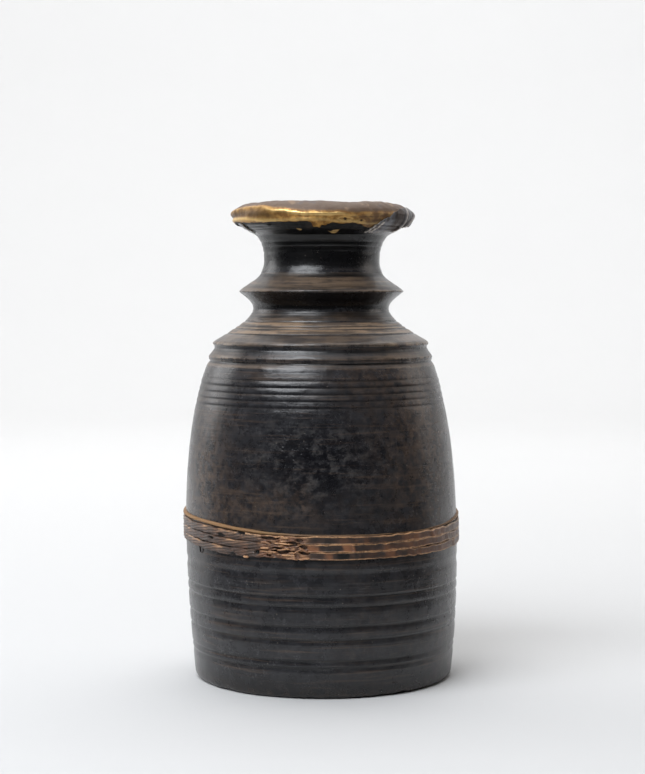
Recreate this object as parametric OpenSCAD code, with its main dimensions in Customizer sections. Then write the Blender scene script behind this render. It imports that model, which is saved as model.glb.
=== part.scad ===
// Turned wooden milk and butter vessel with a sheet-metal rim and a cane waist band.
// One block of wood is turned to a tall barrel with a narrow, flanged neck. Folded
// brass sheets are tacked over the wooden lip, and split cane is wound round the belly.
// Frame: origin at the centre of the foot, +Z up through the mouth, front towards -Y.

/* [Belly] */
// Widest diameter of the belly
belly_d = 171; // [162:1:180]
// Height of the widest place above the foot
belly_z = 85; // [78:1:92]
// Diameter of the flat that the vessel stands on
foot_d = 153.6; // [146:0.2:155]
// Diameter at the top of the long belly curve
crown_d = 149.2; // [146:0.2:152]
// Height of the top of the long belly curve
crown_z = 188; // [186:0.5:190]
// Thickness of the belly wall
wall_t = 10; // [8:0.5:12]
// Thickness of the closed bottom
bottom_t = 16; // [12:1:20]

/* [Shoulder] */
// Diameter of the lower, wider ledge at the edge of the shoulder
lower_ledge_d = 141.4; // [140:0.2:143]
// Diameter of the upper ledge, where the sloping shoulder starts
upper_ledge_d = 136.6; // [135:0.2:138]
// Height of the edge where the sloping shoulder starts
shoulder_z = 210.9; // [209:0.1:212]
// Outside diameter of the waist between shoulder and flange
waist_d = 85.4; // [80:0.2:90]
// Height of the waist
waist_z = 231; // [229:0.5:233]

/* [Neck] */
// Diameter over the sharp edge of the flange
flange_d = 104; // [98:1:108]
// Height of that sharp edge
flange_z = 242; // [241:0.5:243]
// Smallest outside diameter of the neck
neck_d = 72.4; // [70:0.2:76]
// Height of the smallest place on the neck
neck_z = 261; // [259:0.5:263]
// Diameter of the bore through the neck
bore_d = 55; // [48:1:57]

/* [Lip] */
// Diameter of the wooden lip under the metal
lip_d = 110.4; // [106:0.2:114]
// Height of the wooden lip's top
lip_z = 294.6; // [292:0.2:296]
// Diameter of the mouth at the lip's top
mouth_d = 89; // [86:1:92]
// Thickness of the metal sheet with its folds
sheet_t = 0.8; // [0.6:0.1:1.2]
// Radial gap between the wood and the metal
sheet_gap = 0.1; // [0.05:0.05:0.2]

/* [Turned lines] */
// Number of incised lines on the upper belly
line_count = 5; // [3:1:5]
// Distance between those lines
line_pitch = 4; // [3.4:0.1:4.2]
// Depth of the broad grooves below the band
groove_depth = 0.9; // [0.5:0.1:1.4]
// Depth of the fine lines
line_depth = 0.6; // [0.3:0.1:0.9]

/* [Cane band] */
// Width of one strand of cane
strand_w = 4.9; // [4:0.1:5]
// Thickness of one strand of cane
strand_t = 1.9; // [1.4:0.1:2.4]
// Height of the middle strand where it crosses the Y axis
band_z = 93.2; // [90:0.1:96]
// Thickness of the single hoop above the strands
hoop_t = 2.8; // [2:0.1:3.4]

/* [Tacks] */
// Diameter of a tack's head
tack_d = 2.6; // [2:0.1:3.4]
// Length of a tack's shank
tack_l = 6; // [4:0.5:8]

/* [Hidden] */
$fn = 96;

belly_r = belly_d / 2;
foot_r = foot_d / 2;
foot_round = 3.9;
foot_full_r = foot_r + foot_round;
crown_r = crown_d / 2;
lower_ledge_r = lower_ledge_d / 2;
upper_ledge_r = upper_ledge_d / 2;
waist_r = waist_d / 2;
flange_r = flange_d / 2;
neck_r = neck_d / 2;
bore_r = bore_d / 2;
lip_r = lip_d / 2;
mouth_r = mouth_d / 2;
shank_d = tack_d * 0.4;

// Broad grooves below the band: each pair frames a narrow flat fillet
groove_pairs = [[61.8, 55.8], [43.8, 35.6], [23.2, 18.8]];
groove_w = 2.2;
// Shallow hollow just under the cane band
hollow_z = 74.5;
hollow_w = 7;
// Fine lines: on the upper belly, round the shoulder cone, on the neck and under the lip
first_line_z = 173.2;
line_w = 1.9;
shoulder_lines = [215.8, 218.9, 220.6, 223.4];
neck_lines = [266, 269, 272];

lip_lines = [279.8, 281.4, 283];
// Where the neck's flare passes into the sloping underside of the lip
flare_z = 277.6;

// Metal rim: the lower edges of the sheets and of the patch, and where one sheet ends
// and the next starts, as angles from the front (-Y), positive towards +X
skirt_z = 284;
patch_low_z = 278.4;
seam_gap = 0.5;
front_sheet = [-100, 31];
right_sheet = [31, 104];
back_sheet = [104, 260];
patch = [34, 92];
patch_lift = 0.25;
tack_angles = [14, 25, 112, 146, 182, 218, 252, 268];
tack_hole_gap = 0.1;
tack_z = 288;

// Cane band: the strands hang a little lower at the front, the hoop still more so
band_tilt = [1.5, 0.4, 0];
hoop_tilt = [2.9, 0.5, 0];
cane_gap = 0.2;
strand_pitch = strand_w + 0.1;
hoop_z = 104.4;
tuck_angles = [-24, -17, -12];

// Points on a cubic curve from a to d that leaves towards b and arrives from c
function curve(a, b, c, d, steps = 6) = [
    for (i = [1:steps])
        let (t = i / steps, u = 1 - t)
            a * pow(u, 3) + b * 3 * t * pow(u, 2) + c * 3 * u * pow(t, 2) + d * pow(t, 3)
];

// Outside radius of the belly at height z
function belly_at(z) =
    z < belly_z
        ? belly_r - (belly_r - foot_full_r) * pow((belly_z - z) / belly_z, 2)
        : belly_r - (belly_r - crown_r) * pow((z - belly_z) / (crown_z - belly_z), 2.5);

// Sloping underside of the lip, out to the nose, standing out by t
function lip_underside(t) = curve(
    [neck_r + 6.6 + 0.5 * t, flare_z - 0.9 * t],
    [lip_r - 5.2 + 0.5 * t, flare_z + 3.3 - 0.9 * t],
    [lip_r + 0.9 * t, flare_z + 6 - 0.5 * t],
    [lip_r + t, lip_z - 6]
);

// Wooden lip in section, from the neck round the nose to the edge of the mouth.
// It stands out by t all round, so the same outline also makes the metal sheet.
function lip_outline(t) = concat(
    [[neck_r + 6.6 + 0.5 * t, flare_z - 0.9 * t]],
    lip_underside(t),
    curve(
        [lip_r + t, lip_z - 6],
        [lip_r + t, lip_z - 3.2 + t],
        [lip_r - 4 + t, lip_z - 1 + t],
        [mouth_r + 3.5, lip_z + t]
    ),
    curve(
        [mouth_r + 3.5, lip_z + t],
        [mouth_r + 1 - t, lip_z + t],
        [mouth_r - 0.6 - t, lip_z - 0.6 + t],
        [mouth_r - 1.6 - t, lip_z - 3],
        5
    )
);

// Hollow cone of the shoulder, up to the waist
function shoulder_cone() = curve(
    [upper_ledge_r - 1.1, shoulder_z],
    [upper_ledge_r - 14.6, shoulder_z + 8],
    [waist_r, waist_z - 5.5],
    [waist_r, waist_z],
    8
);

// Hollow flare of the neck, up to the lip
function neck_flare() = curve(
    [neck_r + 0.7, flange_z + 15],
    [neck_r - 0.2, neck_z - 1],
    [neck_r - 0.4, neck_z + 9],
    [neck_r + 4.8, flare_z - 1],
    8
);

// Outside of the vessel from the foot up to the lip
function outside() = concat(
    [[0, 0], [foot_r, 0]],
    curve(
        [foot_r, 0],
        [foot_r + foot_round * 0.7, 0],
        [foot_full_r, 0.8],
        [belly_at(foot_round), foot_round],
        5
    ),
    [for (z = [12:12:180]) [belly_at(z), z]],
    [[crown_r, crown_z]],
    // rounded crown, undercut below the lower ledge
    curve(
        [crown_r, crown_z],
        [crown_r - 1.2, crown_z + 3],
        [lower_ledge_r + 0.9, shoulder_z - 14],
        [lower_ledge_r - 0.1, shoulder_z - 12.6],
        5
    ),
    [[lower_ledge_r - 1.1, shoulder_z - 12]],
    [[lower_ledge_r - 1.1, shoulder_z - 11]],
    // lower ledge and the slope up to the upper one
    [[lower_ledge_r, shoulder_z - 10.2]],
    [[lower_ledge_r - 0.1, shoulder_z - 9.4]],
    [[upper_ledge_r - 0.8, shoulder_z - 5.3]],
    [[upper_ledge_r - 1.2, shoulder_z - 4.5]],
    [[upper_ledge_r - 1.2, shoulder_z - 3]],
    // upper ledge
    [[upper_ledge_r, shoulder_z - 2]],
    [[upper_ledge_r - 0.1, shoulder_z - 1.1]],
    [[upper_ledge_r - 1.1, shoulder_z]],
    shoulder_cone(),
    // hollow underside and sharp edge of the flange
    curve(
        [waist_r, waist_z],
        [waist_r, flange_z - 7],
        [flange_r - 5, flange_z - 4.2],
        [flange_r, flange_z - 0.5]
    ),
    [[flange_r, flange_z]],
    // sloping top of the flange, and the small bead where the neck starts
    curve(
        [flange_r, flange_z],
        [flange_r - 3.5, flange_z + 3.6],
        [neck_r + 3.4, flange_z + 7.5],
        [neck_r + 2.1, flange_z + 11],
        6
    ),
    [[neck_r + 1.6, flange_z + 13], [neck_r + 0.7, flange_z + 15]],
    neck_flare(),
    lip_outline(0)
);

// Hollow of the vessel from the mouth down to the middle of the bottom
function inside() = concat(
    curve(
        [mouth_r - 1.6, lip_z - 3],
        [mouth_r - 6, lip_z - 13],
        [bore_r, neck_z + 14],
        [bore_r, neck_z]
    ),
    curve(
        [bore_r, neck_z - 18],
        [bore_r, waist_z - 10],
        [crown_r - wall_t - 6, shoulder_z - 2],
        [crown_r - wall_t, crown_z]
    ),
    [for (z = [180:-12:bottom_t + 20]) [belly_at(z) - wall_t, z]],
    curve(
        [belly_at(bottom_t + 18) - wall_t, bottom_t + 18],
        [belly_at(bottom_t) - wall_t, bottom_t + 6],
        [foot_r - wall_t - 4, bottom_t],
        [foot_r - wall_t - 16, bottom_t]
    ),
    [[0, bottom_t]]
);

// Round-bottomed groove cut into the outside, centred at radius r and height z
module groove(r, z, width, depth) {
    cut_r = (width * width / 4 + depth * depth) / (2 * depth);
    translate([r + cut_r - depth, z]) circle(r = cut_r);
}

// Radius that a run of outline points has at height z
function radius_at(z, points) = lookup(z, [for (p = points) [p[1], p[0]]]);

// Grooves that follow the belly's own curve
module belly_grooves() {
    for (pair = groove_pairs, z = pair) groove(belly_at(z), z, groove_w, groove_depth);
    groove(belly_at(hollow_z), hollow_z, hollow_w, 0.5);
    for (i = [0:line_count - 1]) {
        z = first_line_z + i * line_pitch;
        groove(belly_at(z), z, line_w, line_depth);
    }
}

// Fine lines on the shoulder cone, the neck and the underside of the lip
module collar_lines() {
    for (z = shoulder_lines) groove(radius_at(z, shoulder_cone()), z, 1.4, line_depth * 0.8);
    for (z = neck_lines) groove(radius_at(z, neck_flare()), z, 1.4, line_depth * 0.6);
    for (z = lip_lines) groove(radius_at(z, lip_underside(0)), z, 1, line_depth * 0.5);
}

module vessel_body() color([0.13, 0.12, 0.12]) difference() {
    rotate_extrude() difference() {
        polygon(concat(outside(), inside()));
        belly_grooves();
        collar_lines();
    }
    tack_holes();
}

// Section of the folded sheet over the lip, lifted off the wood by gap and cut off
// inwards of inner_r and outside the heights low_z to high_z
module sheet_section(gap, inner_r, low_z, high_z) intersection() {
    difference() {
        polygon(lip_outline(gap + sheet_t));
        polygon(lip_outline(gap));
    }
    translate([inner_r, low_z]) square([lip_r + 10 - inner_r, high_z - low_z]);
}

// Section of a whole sheet, from its skirt over the lip and into the mouth
module full_section() sheet_section(sheet_gap, mouth_r - 6, skirt_z, lip_z + 4);

// Turns a section round the mouth between two angles measured from the front
module round_the_mouth(span)
    rotate([0, 0, span[0] - 90]) rotate_extrude(angle = span[1] - span[0]) children();

// A whole sheet over the given span, a little short at each end and pierced by the tacks
module rim_sheet(span) {
    short_of_seam = [seam_gap, -seam_gap] * 90 / lip_r;
    difference() {
        round_the_mouth(span + short_of_seam) full_section();
        tack_holes();
    }
}

module rim_sheet_front() color([0.62, 0.44, 0.18]) rim_sheet(front_sheet);

module rim_sheet_right() color([0.50, 0.36, 0.18]) rim_sheet(right_sheet);

module rim_sheet_back() color([0.55, 0.40, 0.20]) rim_sheet(back_sheet);

// Dull grey patch folded over the lower half of the right-hand sheet
module rim_patch() color([0.27, 0.27, 0.29])
    round_the_mouth(patch) sheet_section(sheet_gap + sheet_t + patch_lift, lip_r - 12, patch_low_z, lip_z - 3);

// Tacks through the sheet into the lip: a domed head and a plain shank
module tack() {
    seat = lip_r + sheet_gap + sheet_t;
    translate([0, 0, lip_r - tack_l]) cylinder(d = shank_d, h = seat + 0.2 - lip_r + tack_l);
    translate([0, 0, seat]) intersection() {
        translate([0, 0, -tack_d * 0.4]) sphere(d = tack_d * 1.28);
        cylinder(d = tack_d, h = tack_d);
    }
}

// Puts its child on the lip at every tack, pointing outwards
module at_tacks()
    for (a = tack_angles) rotate([0, 0, a]) translate([0, 0, tack_z]) rotate([90, 0, 0]) children();

module tack_holes() at_tacks()
    translate([0, 0, lip_r - tack_l - tack_hole_gap])
        cylinder(d = shank_d + 2 * tack_hole_gap, h = tack_l + 4);

module rim_tacks() color([0.35, 0.26, 0.14]) at_tacks() tack();

// Split cane in section: a flat strip with two raised, rounded edges
module strand_section() {
    edge_r = strand_t * 0.36;
    translate([0, -strand_w / 2]) square([strand_t * 0.72, strand_w]);
    for (side = [-1, 1]) translate([strand_t - edge_r, side * (strand_w / 2 - edge_r)]) circle(r = edge_r);
}

// One strand of the band, level counted upwards from the middle strand
module strand(level) translate([0, 0, band_z]) rotate(band_tilt)
    rotate_extrude() translate([belly_r + cane_gap, level * strand_pitch]) strand_section();

module cane_strand_top() color([0.36, 0.24, 0.15]) strand(1);

module cane_strand_middle() color([0.33, 0.22, 0.14]) strand(0);

module cane_strand_bottom() color([0.36, 0.24, 0.15]) strand(-1);

// Ends of the strands, tucked over the band at the front
module cane_tucked_ends() color([0.50, 0.33, 0.18])
    translate([0, 0, band_z]) rotate(band_tilt)
        for (i = [0:2]) rotate([0, 0, tuck_angles[i] - 90]) rotate_extrude(angle = 10)
            translate([belly_r + cane_gap + strand_t + 0.1, (i - 1) * strand_pitch - 1.4])
                square([0.6, 2.8]);

// Single split-cane hoop that has slipped down towards the band
module cane_hoop() color([0.58, 0.42, 0.24])
    translate([0, 0, hoop_z]) rotate(hoop_tilt)
        rotate_extrude() translate([belly_r + cane_gap + 0.1 + hoop_t / 2, 0]) circle(d = hoop_t);

vessel_body();
rim_sheet_front();
rim_sheet_right();
rim_sheet_back();
rim_patch();
rim_tacks();
cane_hoop();
cane_strand_top();
cane_strand_middle();
cane_strand_bottom();
cane_tucked_ends();
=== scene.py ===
"""Smoke-blackened turned jar with a metal-covered lip and a band of split cane.

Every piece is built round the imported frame, by an operator of its own.
"""

import itertools
import math

import bpy
import numpy as np
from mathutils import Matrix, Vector
from mathutils.bvhtree import BVHTree


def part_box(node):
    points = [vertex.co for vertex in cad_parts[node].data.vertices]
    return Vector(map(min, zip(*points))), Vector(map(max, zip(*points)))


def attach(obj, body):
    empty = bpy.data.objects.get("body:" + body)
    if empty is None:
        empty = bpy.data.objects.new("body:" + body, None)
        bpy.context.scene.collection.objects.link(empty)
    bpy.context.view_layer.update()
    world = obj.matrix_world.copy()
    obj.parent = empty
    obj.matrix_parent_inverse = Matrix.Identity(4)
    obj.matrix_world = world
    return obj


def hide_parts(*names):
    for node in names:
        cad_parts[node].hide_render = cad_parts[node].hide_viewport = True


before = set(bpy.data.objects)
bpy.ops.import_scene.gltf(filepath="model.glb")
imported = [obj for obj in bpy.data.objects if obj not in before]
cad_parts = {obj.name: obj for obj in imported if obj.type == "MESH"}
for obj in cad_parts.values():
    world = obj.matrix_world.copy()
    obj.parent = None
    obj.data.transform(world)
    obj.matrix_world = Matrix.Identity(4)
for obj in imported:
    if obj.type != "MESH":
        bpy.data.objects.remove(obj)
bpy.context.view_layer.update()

bl_info = {
    "name": "Turned jar with a metal lip and a cane band",
    "version": (1, 0, 0),
    "blender": (4, 5, 0),
    "location": "3D View > Sidebar > Jar",
    "description": "Builds a smoke-blackened turned jar, the folded sheet on its lip and its cane band",
    "category": "Add Mesh",
}

MM = 0.001
BODY = "root"
BLOCK = "vessel_body"


def shade(red, green, blue):
    """A colour given as it looks on a screen, from 0 to 255, as the light it stands for."""
    channels = [c / 255 for c in (red, green, blue)]
    return tuple(c / 12.92 if c < 0.04045 else ((c + 0.055) / 1.055) ** 2.4 for c in channels)


# ---------------------------------------------------------------------------
# Settings


class JarWoodSettings(bpy.types.PropertyGroup):
    """Sizes and colours of the turned wooden block."""

    segments: bpy.props.IntProperty(
        name="Segments around", default=264, min=96, description="Faces round the block"
    )
    outer_rings: bpy.props.IntProperty(
        name="Outer rings", default=330, min=120, description="Rings up the outside"
    )
    lean: bpy.props.FloatProperty(
        name="Bow", default=1.9 * MM, unit="LENGTH",
        description="How far the middle of the block bows to one side",
    )
    out_of_round: bpy.props.FloatProperty(
        name="Out of round", default=0.35 * MM, unit="LENGTH",
        description="How uneven the turned outline is",
    )
    wear: bpy.props.FloatProperty(
        name="Wear", default=0.55, subtype="FACTOR",
        description="How far grooves and edges are worn away in places",
    )
    soot: bpy.props.FloatVectorProperty(
        name="Soot", size=3, subtype="COLOR", default=shade(16, 16, 19), description="The blackest wood"
    )
    charcoal: bpy.props.FloatVectorProperty(
        name="Charcoal", size=3, subtype="COLOR", default=shade(48, 48, 51),
        description="The usual blackened wood",
    )
    brown: bpy.props.FloatVectorProperty(
        name="Handled brown", size=3, subtype="COLOR", default=shade(98, 80, 66),
        description="Where hands wore the soot",
    )
    # Dust on the ledges; the same colour paints the pale edges, partly as a painted highlight
    dust_and_highlight: bpy.props.FloatVectorProperty(
        name="Dust", size=3, subtype="COLOR", default=shade(149, 125, 101),
        description="Dust on ledges and in grooves",
    )


class JarRimSettings(bpy.types.PropertyGroup):
    """Sizes and colours of the metal on the lip."""

    thickness: bpy.props.FloatProperty(
        name="Sheet thickness", default=0.5 * MM, unit="LENGTH", description="Thickness of the sheet"
    )
    crumple: bpy.props.FloatProperty(
        name="Crumple", default=0.3 * MM, unit="LENGTH", description="Height of the dents in the sheet"
    )
    brass: bpy.props.FloatVectorProperty(
        name="Worn brass", size=3, subtype="COLOR", default=shade(240, 204, 136),
        description="Bright worn folds",
    )
    gold: bpy.props.FloatVectorProperty(
        name="Golden brass", size=3, subtype="COLOR", default=shade(196, 148, 78),
        description="The face of the lip",
    )
    patina: bpy.props.FloatVectorProperty(
        name="Brown patina", size=3, subtype="COLOR", default=shade(95, 75, 60),
        description="Dull brown top",
    )
    grime: bpy.props.FloatVectorProperty(
        name="Grime", size=3, subtype="COLOR", default=shade(14, 13, 13), description="Soot under the lip"
    )
    grey: bpy.props.FloatVectorProperty(
        name="Grey sheet", size=3, subtype="COLOR", default=shade(112, 112, 116),
        description="The dull patch",
    )


class JarCaneSettings(bpy.types.PropertyGroup):
    """Sizes and colours of the cane band."""

    width: bpy.props.FloatProperty(
        name="Strand width", default=4.9 * MM, unit="LENGTH", description="Width of one strand"
    )
    thickness: bpy.props.FloatProperty(
        name="Strand thickness", default=1.5 * MM, unit="LENGTH",
        description="Thickness of one strand at its edges",
    )
    tilt_front: bpy.props.FloatProperty(
        name="Tilt to the front", default=math.radians(1.5), subtype="ANGLE",
        description="How the band dips in front",
    )
    tilt_side: bpy.props.FloatProperty(
        name="Tilt to the side", default=math.radians(0.4), subtype="ANGLE",
        description="How the band dips at the right",
    )
    dark: bpy.props.FloatVectorProperty(
        name="Dark cane", size=3, subtype="COLOR", default=shade(62, 50, 44),
        description="Smoke-darkened faces",
    )
    russet: bpy.props.FloatVectorProperty(
        name="Russet cane", size=3, subtype="COLOR", default=shade(134, 88, 58),
        description="Rubbed patches",
    )
    worn: bpy.props.FloatVectorProperty(
        name="Worn edge", size=3, subtype="COLOR", default=shade(206, 158, 112),
        description="Pale worn edges",
    )
    golden: bpy.props.FloatVectorProperty(
        name="Golden cane", size=3, subtype="COLOR", default=shade(142, 108, 66),
        description="The single hoop",
    )


class JarStageSettings(bpy.types.PropertyGroup):
    """Camera, lights and backdrop."""

    lens: bpy.props.FloatProperty(name="Lens", default=85.0, description="Focal length in millimetres")
    distance: bpy.props.FloatProperty(
        name="Camera distance", default=1.153, unit="LENGTH",
        description="From the jar's axis to the camera",
    )
    height: bpy.props.FloatProperty(
        name="Camera height", default=0.242, unit="LENGTH",
        description="Level with the flange on the neck",
    )
    aside: bpy.props.FloatProperty(
        name="Camera aside", default=0.5 * MM, unit="LENGTH",
        description="Camera's place to the right of the axis",
    )
    pitch: bpy.props.FloatProperty(
        name="Camera pitch", default=math.radians(3.007), subtype="ANGLE",
        description="How far the camera looks down",
    )
    key_power: bpy.props.FloatProperty(
        name="Key light", default=46.0, unit="POWER", description="The window at the left"
    )
    fill_power: bpy.props.FloatProperty(
        name="Fill light", default=9.0, unit="POWER", description="The light at the right"
    )
    top_power: bpy.props.FloatProperty(
        name="Top light", default=15.0, unit="POWER", description="The light overhead"
    )
    wash_power: bpy.props.FloatProperty(
        name="Wash", default=97.0, unit="POWER", description="The light on the backdrop"
    )
    room_light: bpy.props.FloatVectorProperty(
        name="Room light",
        size=4,
        default=(-0.1, 0.75, 0.05, 0.74),
        description="Where the room's light starts and is full, from front to back, and its strength there",
    )
    backdrop: bpy.props.FloatVectorProperty(
        name="Backdrop", size=3, subtype="COLOR", default=shade(198, 198, 198),
        description="Floor and backdrop",
    )


# ---------------------------------------------------------------------------
# Numbers and shapes


def smooth_step(share):
    """Eases from 0 to 1, and stays there outside that range."""
    share = np.clip(share, 0.0, 1.0)
    return share * share * (3 - 2 * share)


def bump(value, centre, half_width):
    """A soft bump of height 1 at centre."""
    return np.exp(-(((value - centre) / half_width) ** 2))


def turned(value):
    """An angle in degrees, brought between -180 and 180."""
    return (value + 180.0) % 360.0 - 180.0


def soft_noise(points, size, seed=0):
    """Smooth noise from -1 to 1 at an array of points, with lumps about size across."""
    cell = points / size
    base = np.floor(cell).astype(np.int64)
    part = cell - base
    part = part * part * (3 - 2 * part)
    total = np.zeros(len(points))
    for corner in itertools.product((0, 1), repeat=3):
        key = base + np.array(corner)
        number = (key * (73856093, 19349663, 83492791)).T
        number = number[0] ^ number[1] ^ number[2] ^ (seed * 7919 + 17)
        number = ((number ^ (number >> 13)) * 1274126177) & 0xFFFFFFFF
        value = ((number ^ (number >> 15)) & 0xFFFF) / 32767.5 - 1.0
        total += value * np.prod(np.where(corner, part, 1 - part), axis=1)
    return total


def around(angle, radius, height):
    """Points at angles in degrees from the front, positive to the right, as an array."""
    a = np.radians(angle)
    return np.stack(np.broadcast_arrays(radius * np.sin(a), -radius * np.cos(a), height), axis=-1)


def grid_mesh(name, points, close_rows=False, close_columns=False, values=None):
    """A mesh through a grid of points (rows, columns, 3), with named values stored at its points."""
    rows, columns = points.shape[:2]
    index = np.arange(rows * columns).reshape(rows, columns)
    down = np.concatenate([index, index[:1]]) if close_rows else index
    if close_columns:
        down = np.concatenate([down, down[:, :1]], axis=1)
    return finish_mesh(name, points.reshape(-1, 3), squares(down), values)


def squares(index):
    """Four-sided faces between the neighbours in a grid of point numbers."""
    corners = [index[:-1, :-1], index[:-1, 1:], index[1:, 1:], index[1:, :-1]]
    return np.stack(corners, axis=-1).reshape(-1, 4).tolist()


def finish_mesh(name, points, faces, values=None):
    """A new object from points and faces, smooth shaded, with named values stored at its points."""
    mesh = bpy.data.meshes.new(name)
    mesh.from_pydata(points.tolist(), [], faces)
    store_values(mesh, values or {})
    piece = bpy.data.objects.new(name, mesh)
    bpy.context.scene.collection.objects.link(piece)
    return piece


def store_values(mesh, values):
    """Stores named values at a new mesh's points, and shades it smooth."""
    for key, numbers in values.items():
        store = mesh.attributes.get(key) or mesh.attributes.new(key, "FLOAT", "POINT")
        store.data.foreach_set("value", np.asarray(numbers, np.float32).ravel())
    mesh.update()
    mesh.shade_smooth()


def choose(pieces):
    """Selects these pieces only, and makes the first of them the active one."""
    bpy.ops.object.select_all(action="DESELECT")
    for piece in pieces:
        piece.select_set(True)
    bpy.context.view_layer.objects.active = pieces[0]


def joined(name, pieces):
    """Joins several new pieces into one with that name."""
    choose(pieces)
    if len(pieces) > 1:
        bpy.ops.object.join()
    pieces[0].name = name
    pieces[0].data.name = name
    return pieces[0]


def thicken(piece, thickness, offset=-1.0):
    """Gives a sheet its real thickness, with closed edges."""
    solid = piece.modifiers.new("thickness", "SOLIDIFY")
    solid.thickness = thickness
    solid.offset = offset
    solid.use_even_offset = True
    solid.use_quality_normals = True
    choose([piece])
    bpy.ops.object.modifier_apply(modifier=solid.name)
    return piece


def dress(piece, slot, finish, *nodes):
    """Gives a piece its finish, its body and the nodes that it stands for."""
    piece.data.materials.clear()
    piece.data.materials.append(finish)
    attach(piece, BODY)
    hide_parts(*nodes)
    return piece


# ---------------------------------------------------------------------------
# The turned outline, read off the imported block


class BlockSection:
    """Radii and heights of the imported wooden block, found by casting rays at it."""

    def __init__(self):
        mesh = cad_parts[BLOCK].data
        self.tree = BVHTree.FromPolygons([v.co for v in mesh.vertices], [p.vertices for p in mesh.polygons])
        self.low, self.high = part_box(BLOCK)

    def cast(self, start, way):
        """Where a ray meets the block, in the plane through the front."""
        hit = self.tree.ray_cast(Vector(start), Vector(way))[0]
        if hit is None:
            raise RuntimeError(f"no surface from {start} towards {way}")
        return -hit.y, hit.z

    def outside(self, height):
        return self.cast((0, -1, height), (0, 1, 0))[0]

    def inside(self, height):
        return self.cast((0, 0, height), (0, -1, 0))[0]

    def floor(self):
        return self.cast((0, 0, (self.low.z + self.high.z) / 2), (0, 0, -1))[1]


section = BlockSection()


def along_curve(radius, height, pitch):
    """The same curve with points a fixed pitch apart along it."""
    run = np.concatenate([[0], np.cumsum(np.hypot(np.diff(radius), np.diff(height)))])
    even = np.arange(0, run[-1], pitch)
    return np.interp(even, run, radius), np.interp(even, run, height)


def blurred(values, spread):
    """Values smoothed along the curve by a bell of that many points."""
    reach = int(3 * spread)
    bell = np.exp(-0.5 * (np.arange(-reach, reach + 1) / spread) ** 2)
    padded = np.pad(values, reach, mode="reflect", reflect_type="odd")
    return np.convolve(padded, bell / bell.sum(), mode="valid")


# How far a cut reaches up and down, the least depth of a plain one, and the radius beyond the fine ones
CUT_REACH, CUT_DEPTH, FINE_CUTS_OUTSIDE = 1.5 * MM, 0.4 * MM, 72 * MM


def cuts_in(radius, pitch):
    """Narrow cuts in the outline: place, depth, and whether it is a fine one on the leaning wall."""
    reach = int(CUT_REACH / pitch)
    found = []
    for i in range(reach, len(radius) - reach):
        near = radius[i - reach:i + reach + 1]
        below, above = near[:reach + 1].max(), near[reach:].max()
        depth = min(below, above) - radius[i]
        sag = np.linspace(near[0], near[-1], 2 * reach + 1) - near
        deepest = sag.argmax() == reach
        fine = radius[i] > FINE_CUTS_OUTSIDE and depth < CUT_DEPTH and deepest and sag[reach] > 0.38 * MM
        level = radius[i] <= near.min() and depth > CUT_DEPTH and abs(above - below) < 1.2 * MM
        if (fine or level) and (not found or i - found[-1][0] > reach):
            found.append((i, sag[reach] if fine else depth, fine))
    return found


def worn_cuts(radius, height, pitch):
    """The outline with its cuts worn: a crisp upper edge, and a lower edge rounded over by use; and the
    painted shade in each cut.
    """
    cuts = cuts_in(radius, pitch)
    reach = int(CUT_REACH / pitch)
    plain = radius.copy()
    for i, _, _ in cuts:
        low, high = i - reach, i + reach
        plain[low:high + 1] = np.interp(np.arange(low, high + 1), [low, high], [radius[low], radius[high]])
    eased = blurred(plain, 5 * MM / pitch)
    facet = 1 - smooth_step((np.abs(plain - eased) - 0.05 * MM) / (0.1 * MM))
    plain = plain + (eased - plain) * facet
    cut_share = np.zeros(radius.shape)
    for i, depth, fine in cuts:
        upper = height[i] > section.high.z * 0.4
        length = (3.0 if upper else 3.8) * MM
        deep = depth * (0.52 if fine else 0.95 if upper else 0.85)
        below = height[i] + (0.3 if fine else -0.3 if upper else 0.6) * MM - height
        shape = (1 - smooth_step((below - 0.3 * MM) / length)) * smooth_step(below / (0.3 * MM))
        plain -= deep * shape
        # painted shade along each cut, darkest just below it
        cut_shade = bump(below, 0.2 * MM, (0.9 if upper else 1.3) * MM) * (0.55 if fine else 1.0)
        cut_share = np.maximum(cut_share, cut_shade * smooth_step((below + 0.3 * MM) / (0.4 * MM)))
    return plain, cut_share


def outer_outline(count):
    """Rings up the outside: radius, height, outward normal, how hollow it is there, and the painted shade
    in its cuts.
    """
    pitch = 0.15 * MM
    heights = np.arange(section.low.z + 0.1 * MM, section.high.z - 0.1 * MM, pitch)
    radius = np.array([section.outside(z) for z in heights])
    radius, height = along_curve(radius, heights, pitch)
    radius, cut = worn_cuts(radius, height, pitch)
    slope_r, slope_z = np.gradient(radius), np.gradient(height)
    length = np.hypot(slope_r, slope_z)
    normal_r, normal_z = slope_z / length, -slope_r / length
    spread = 1.3 * MM / pitch
    hollow = (blurred(radius, spread) - radius) * normal_r + (blurred(height, spread) - height) * normal_z
    # rings crowd together where the curve bends
    cost = 1 + 10 * np.clip(blurred(np.abs(hollow), 4) / (0.1 * MM), 0, 1)
    run = np.cumsum(cost)
    places = np.arange(len(run))
    pick = np.interp(np.linspace(run[0], run[-1], count), run, places)
    return [np.interp(pick, places, v) for v in (radius, height, normal_r, normal_z, hollow, cut)]


# ---------------------------------------------------------------------------
# Materials


class Nodes:
    """Short-hand for an empty tree of nodes."""

    def __init__(self, owner):
        owner.use_nodes = True
        self.tree = owner.node_tree
        self.tree.nodes.clear()

    def add(self, kind, **settings):
        made = self.tree.nodes.new(kind)
        for key, value in settings.items():
            setattr(made, key, value)
        return made

    def link(self, source, target):
        if isinstance(source, bpy.types.NodeSocket):
            self.tree.links.new(source, target)
        else:
            target.default_value = source


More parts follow.
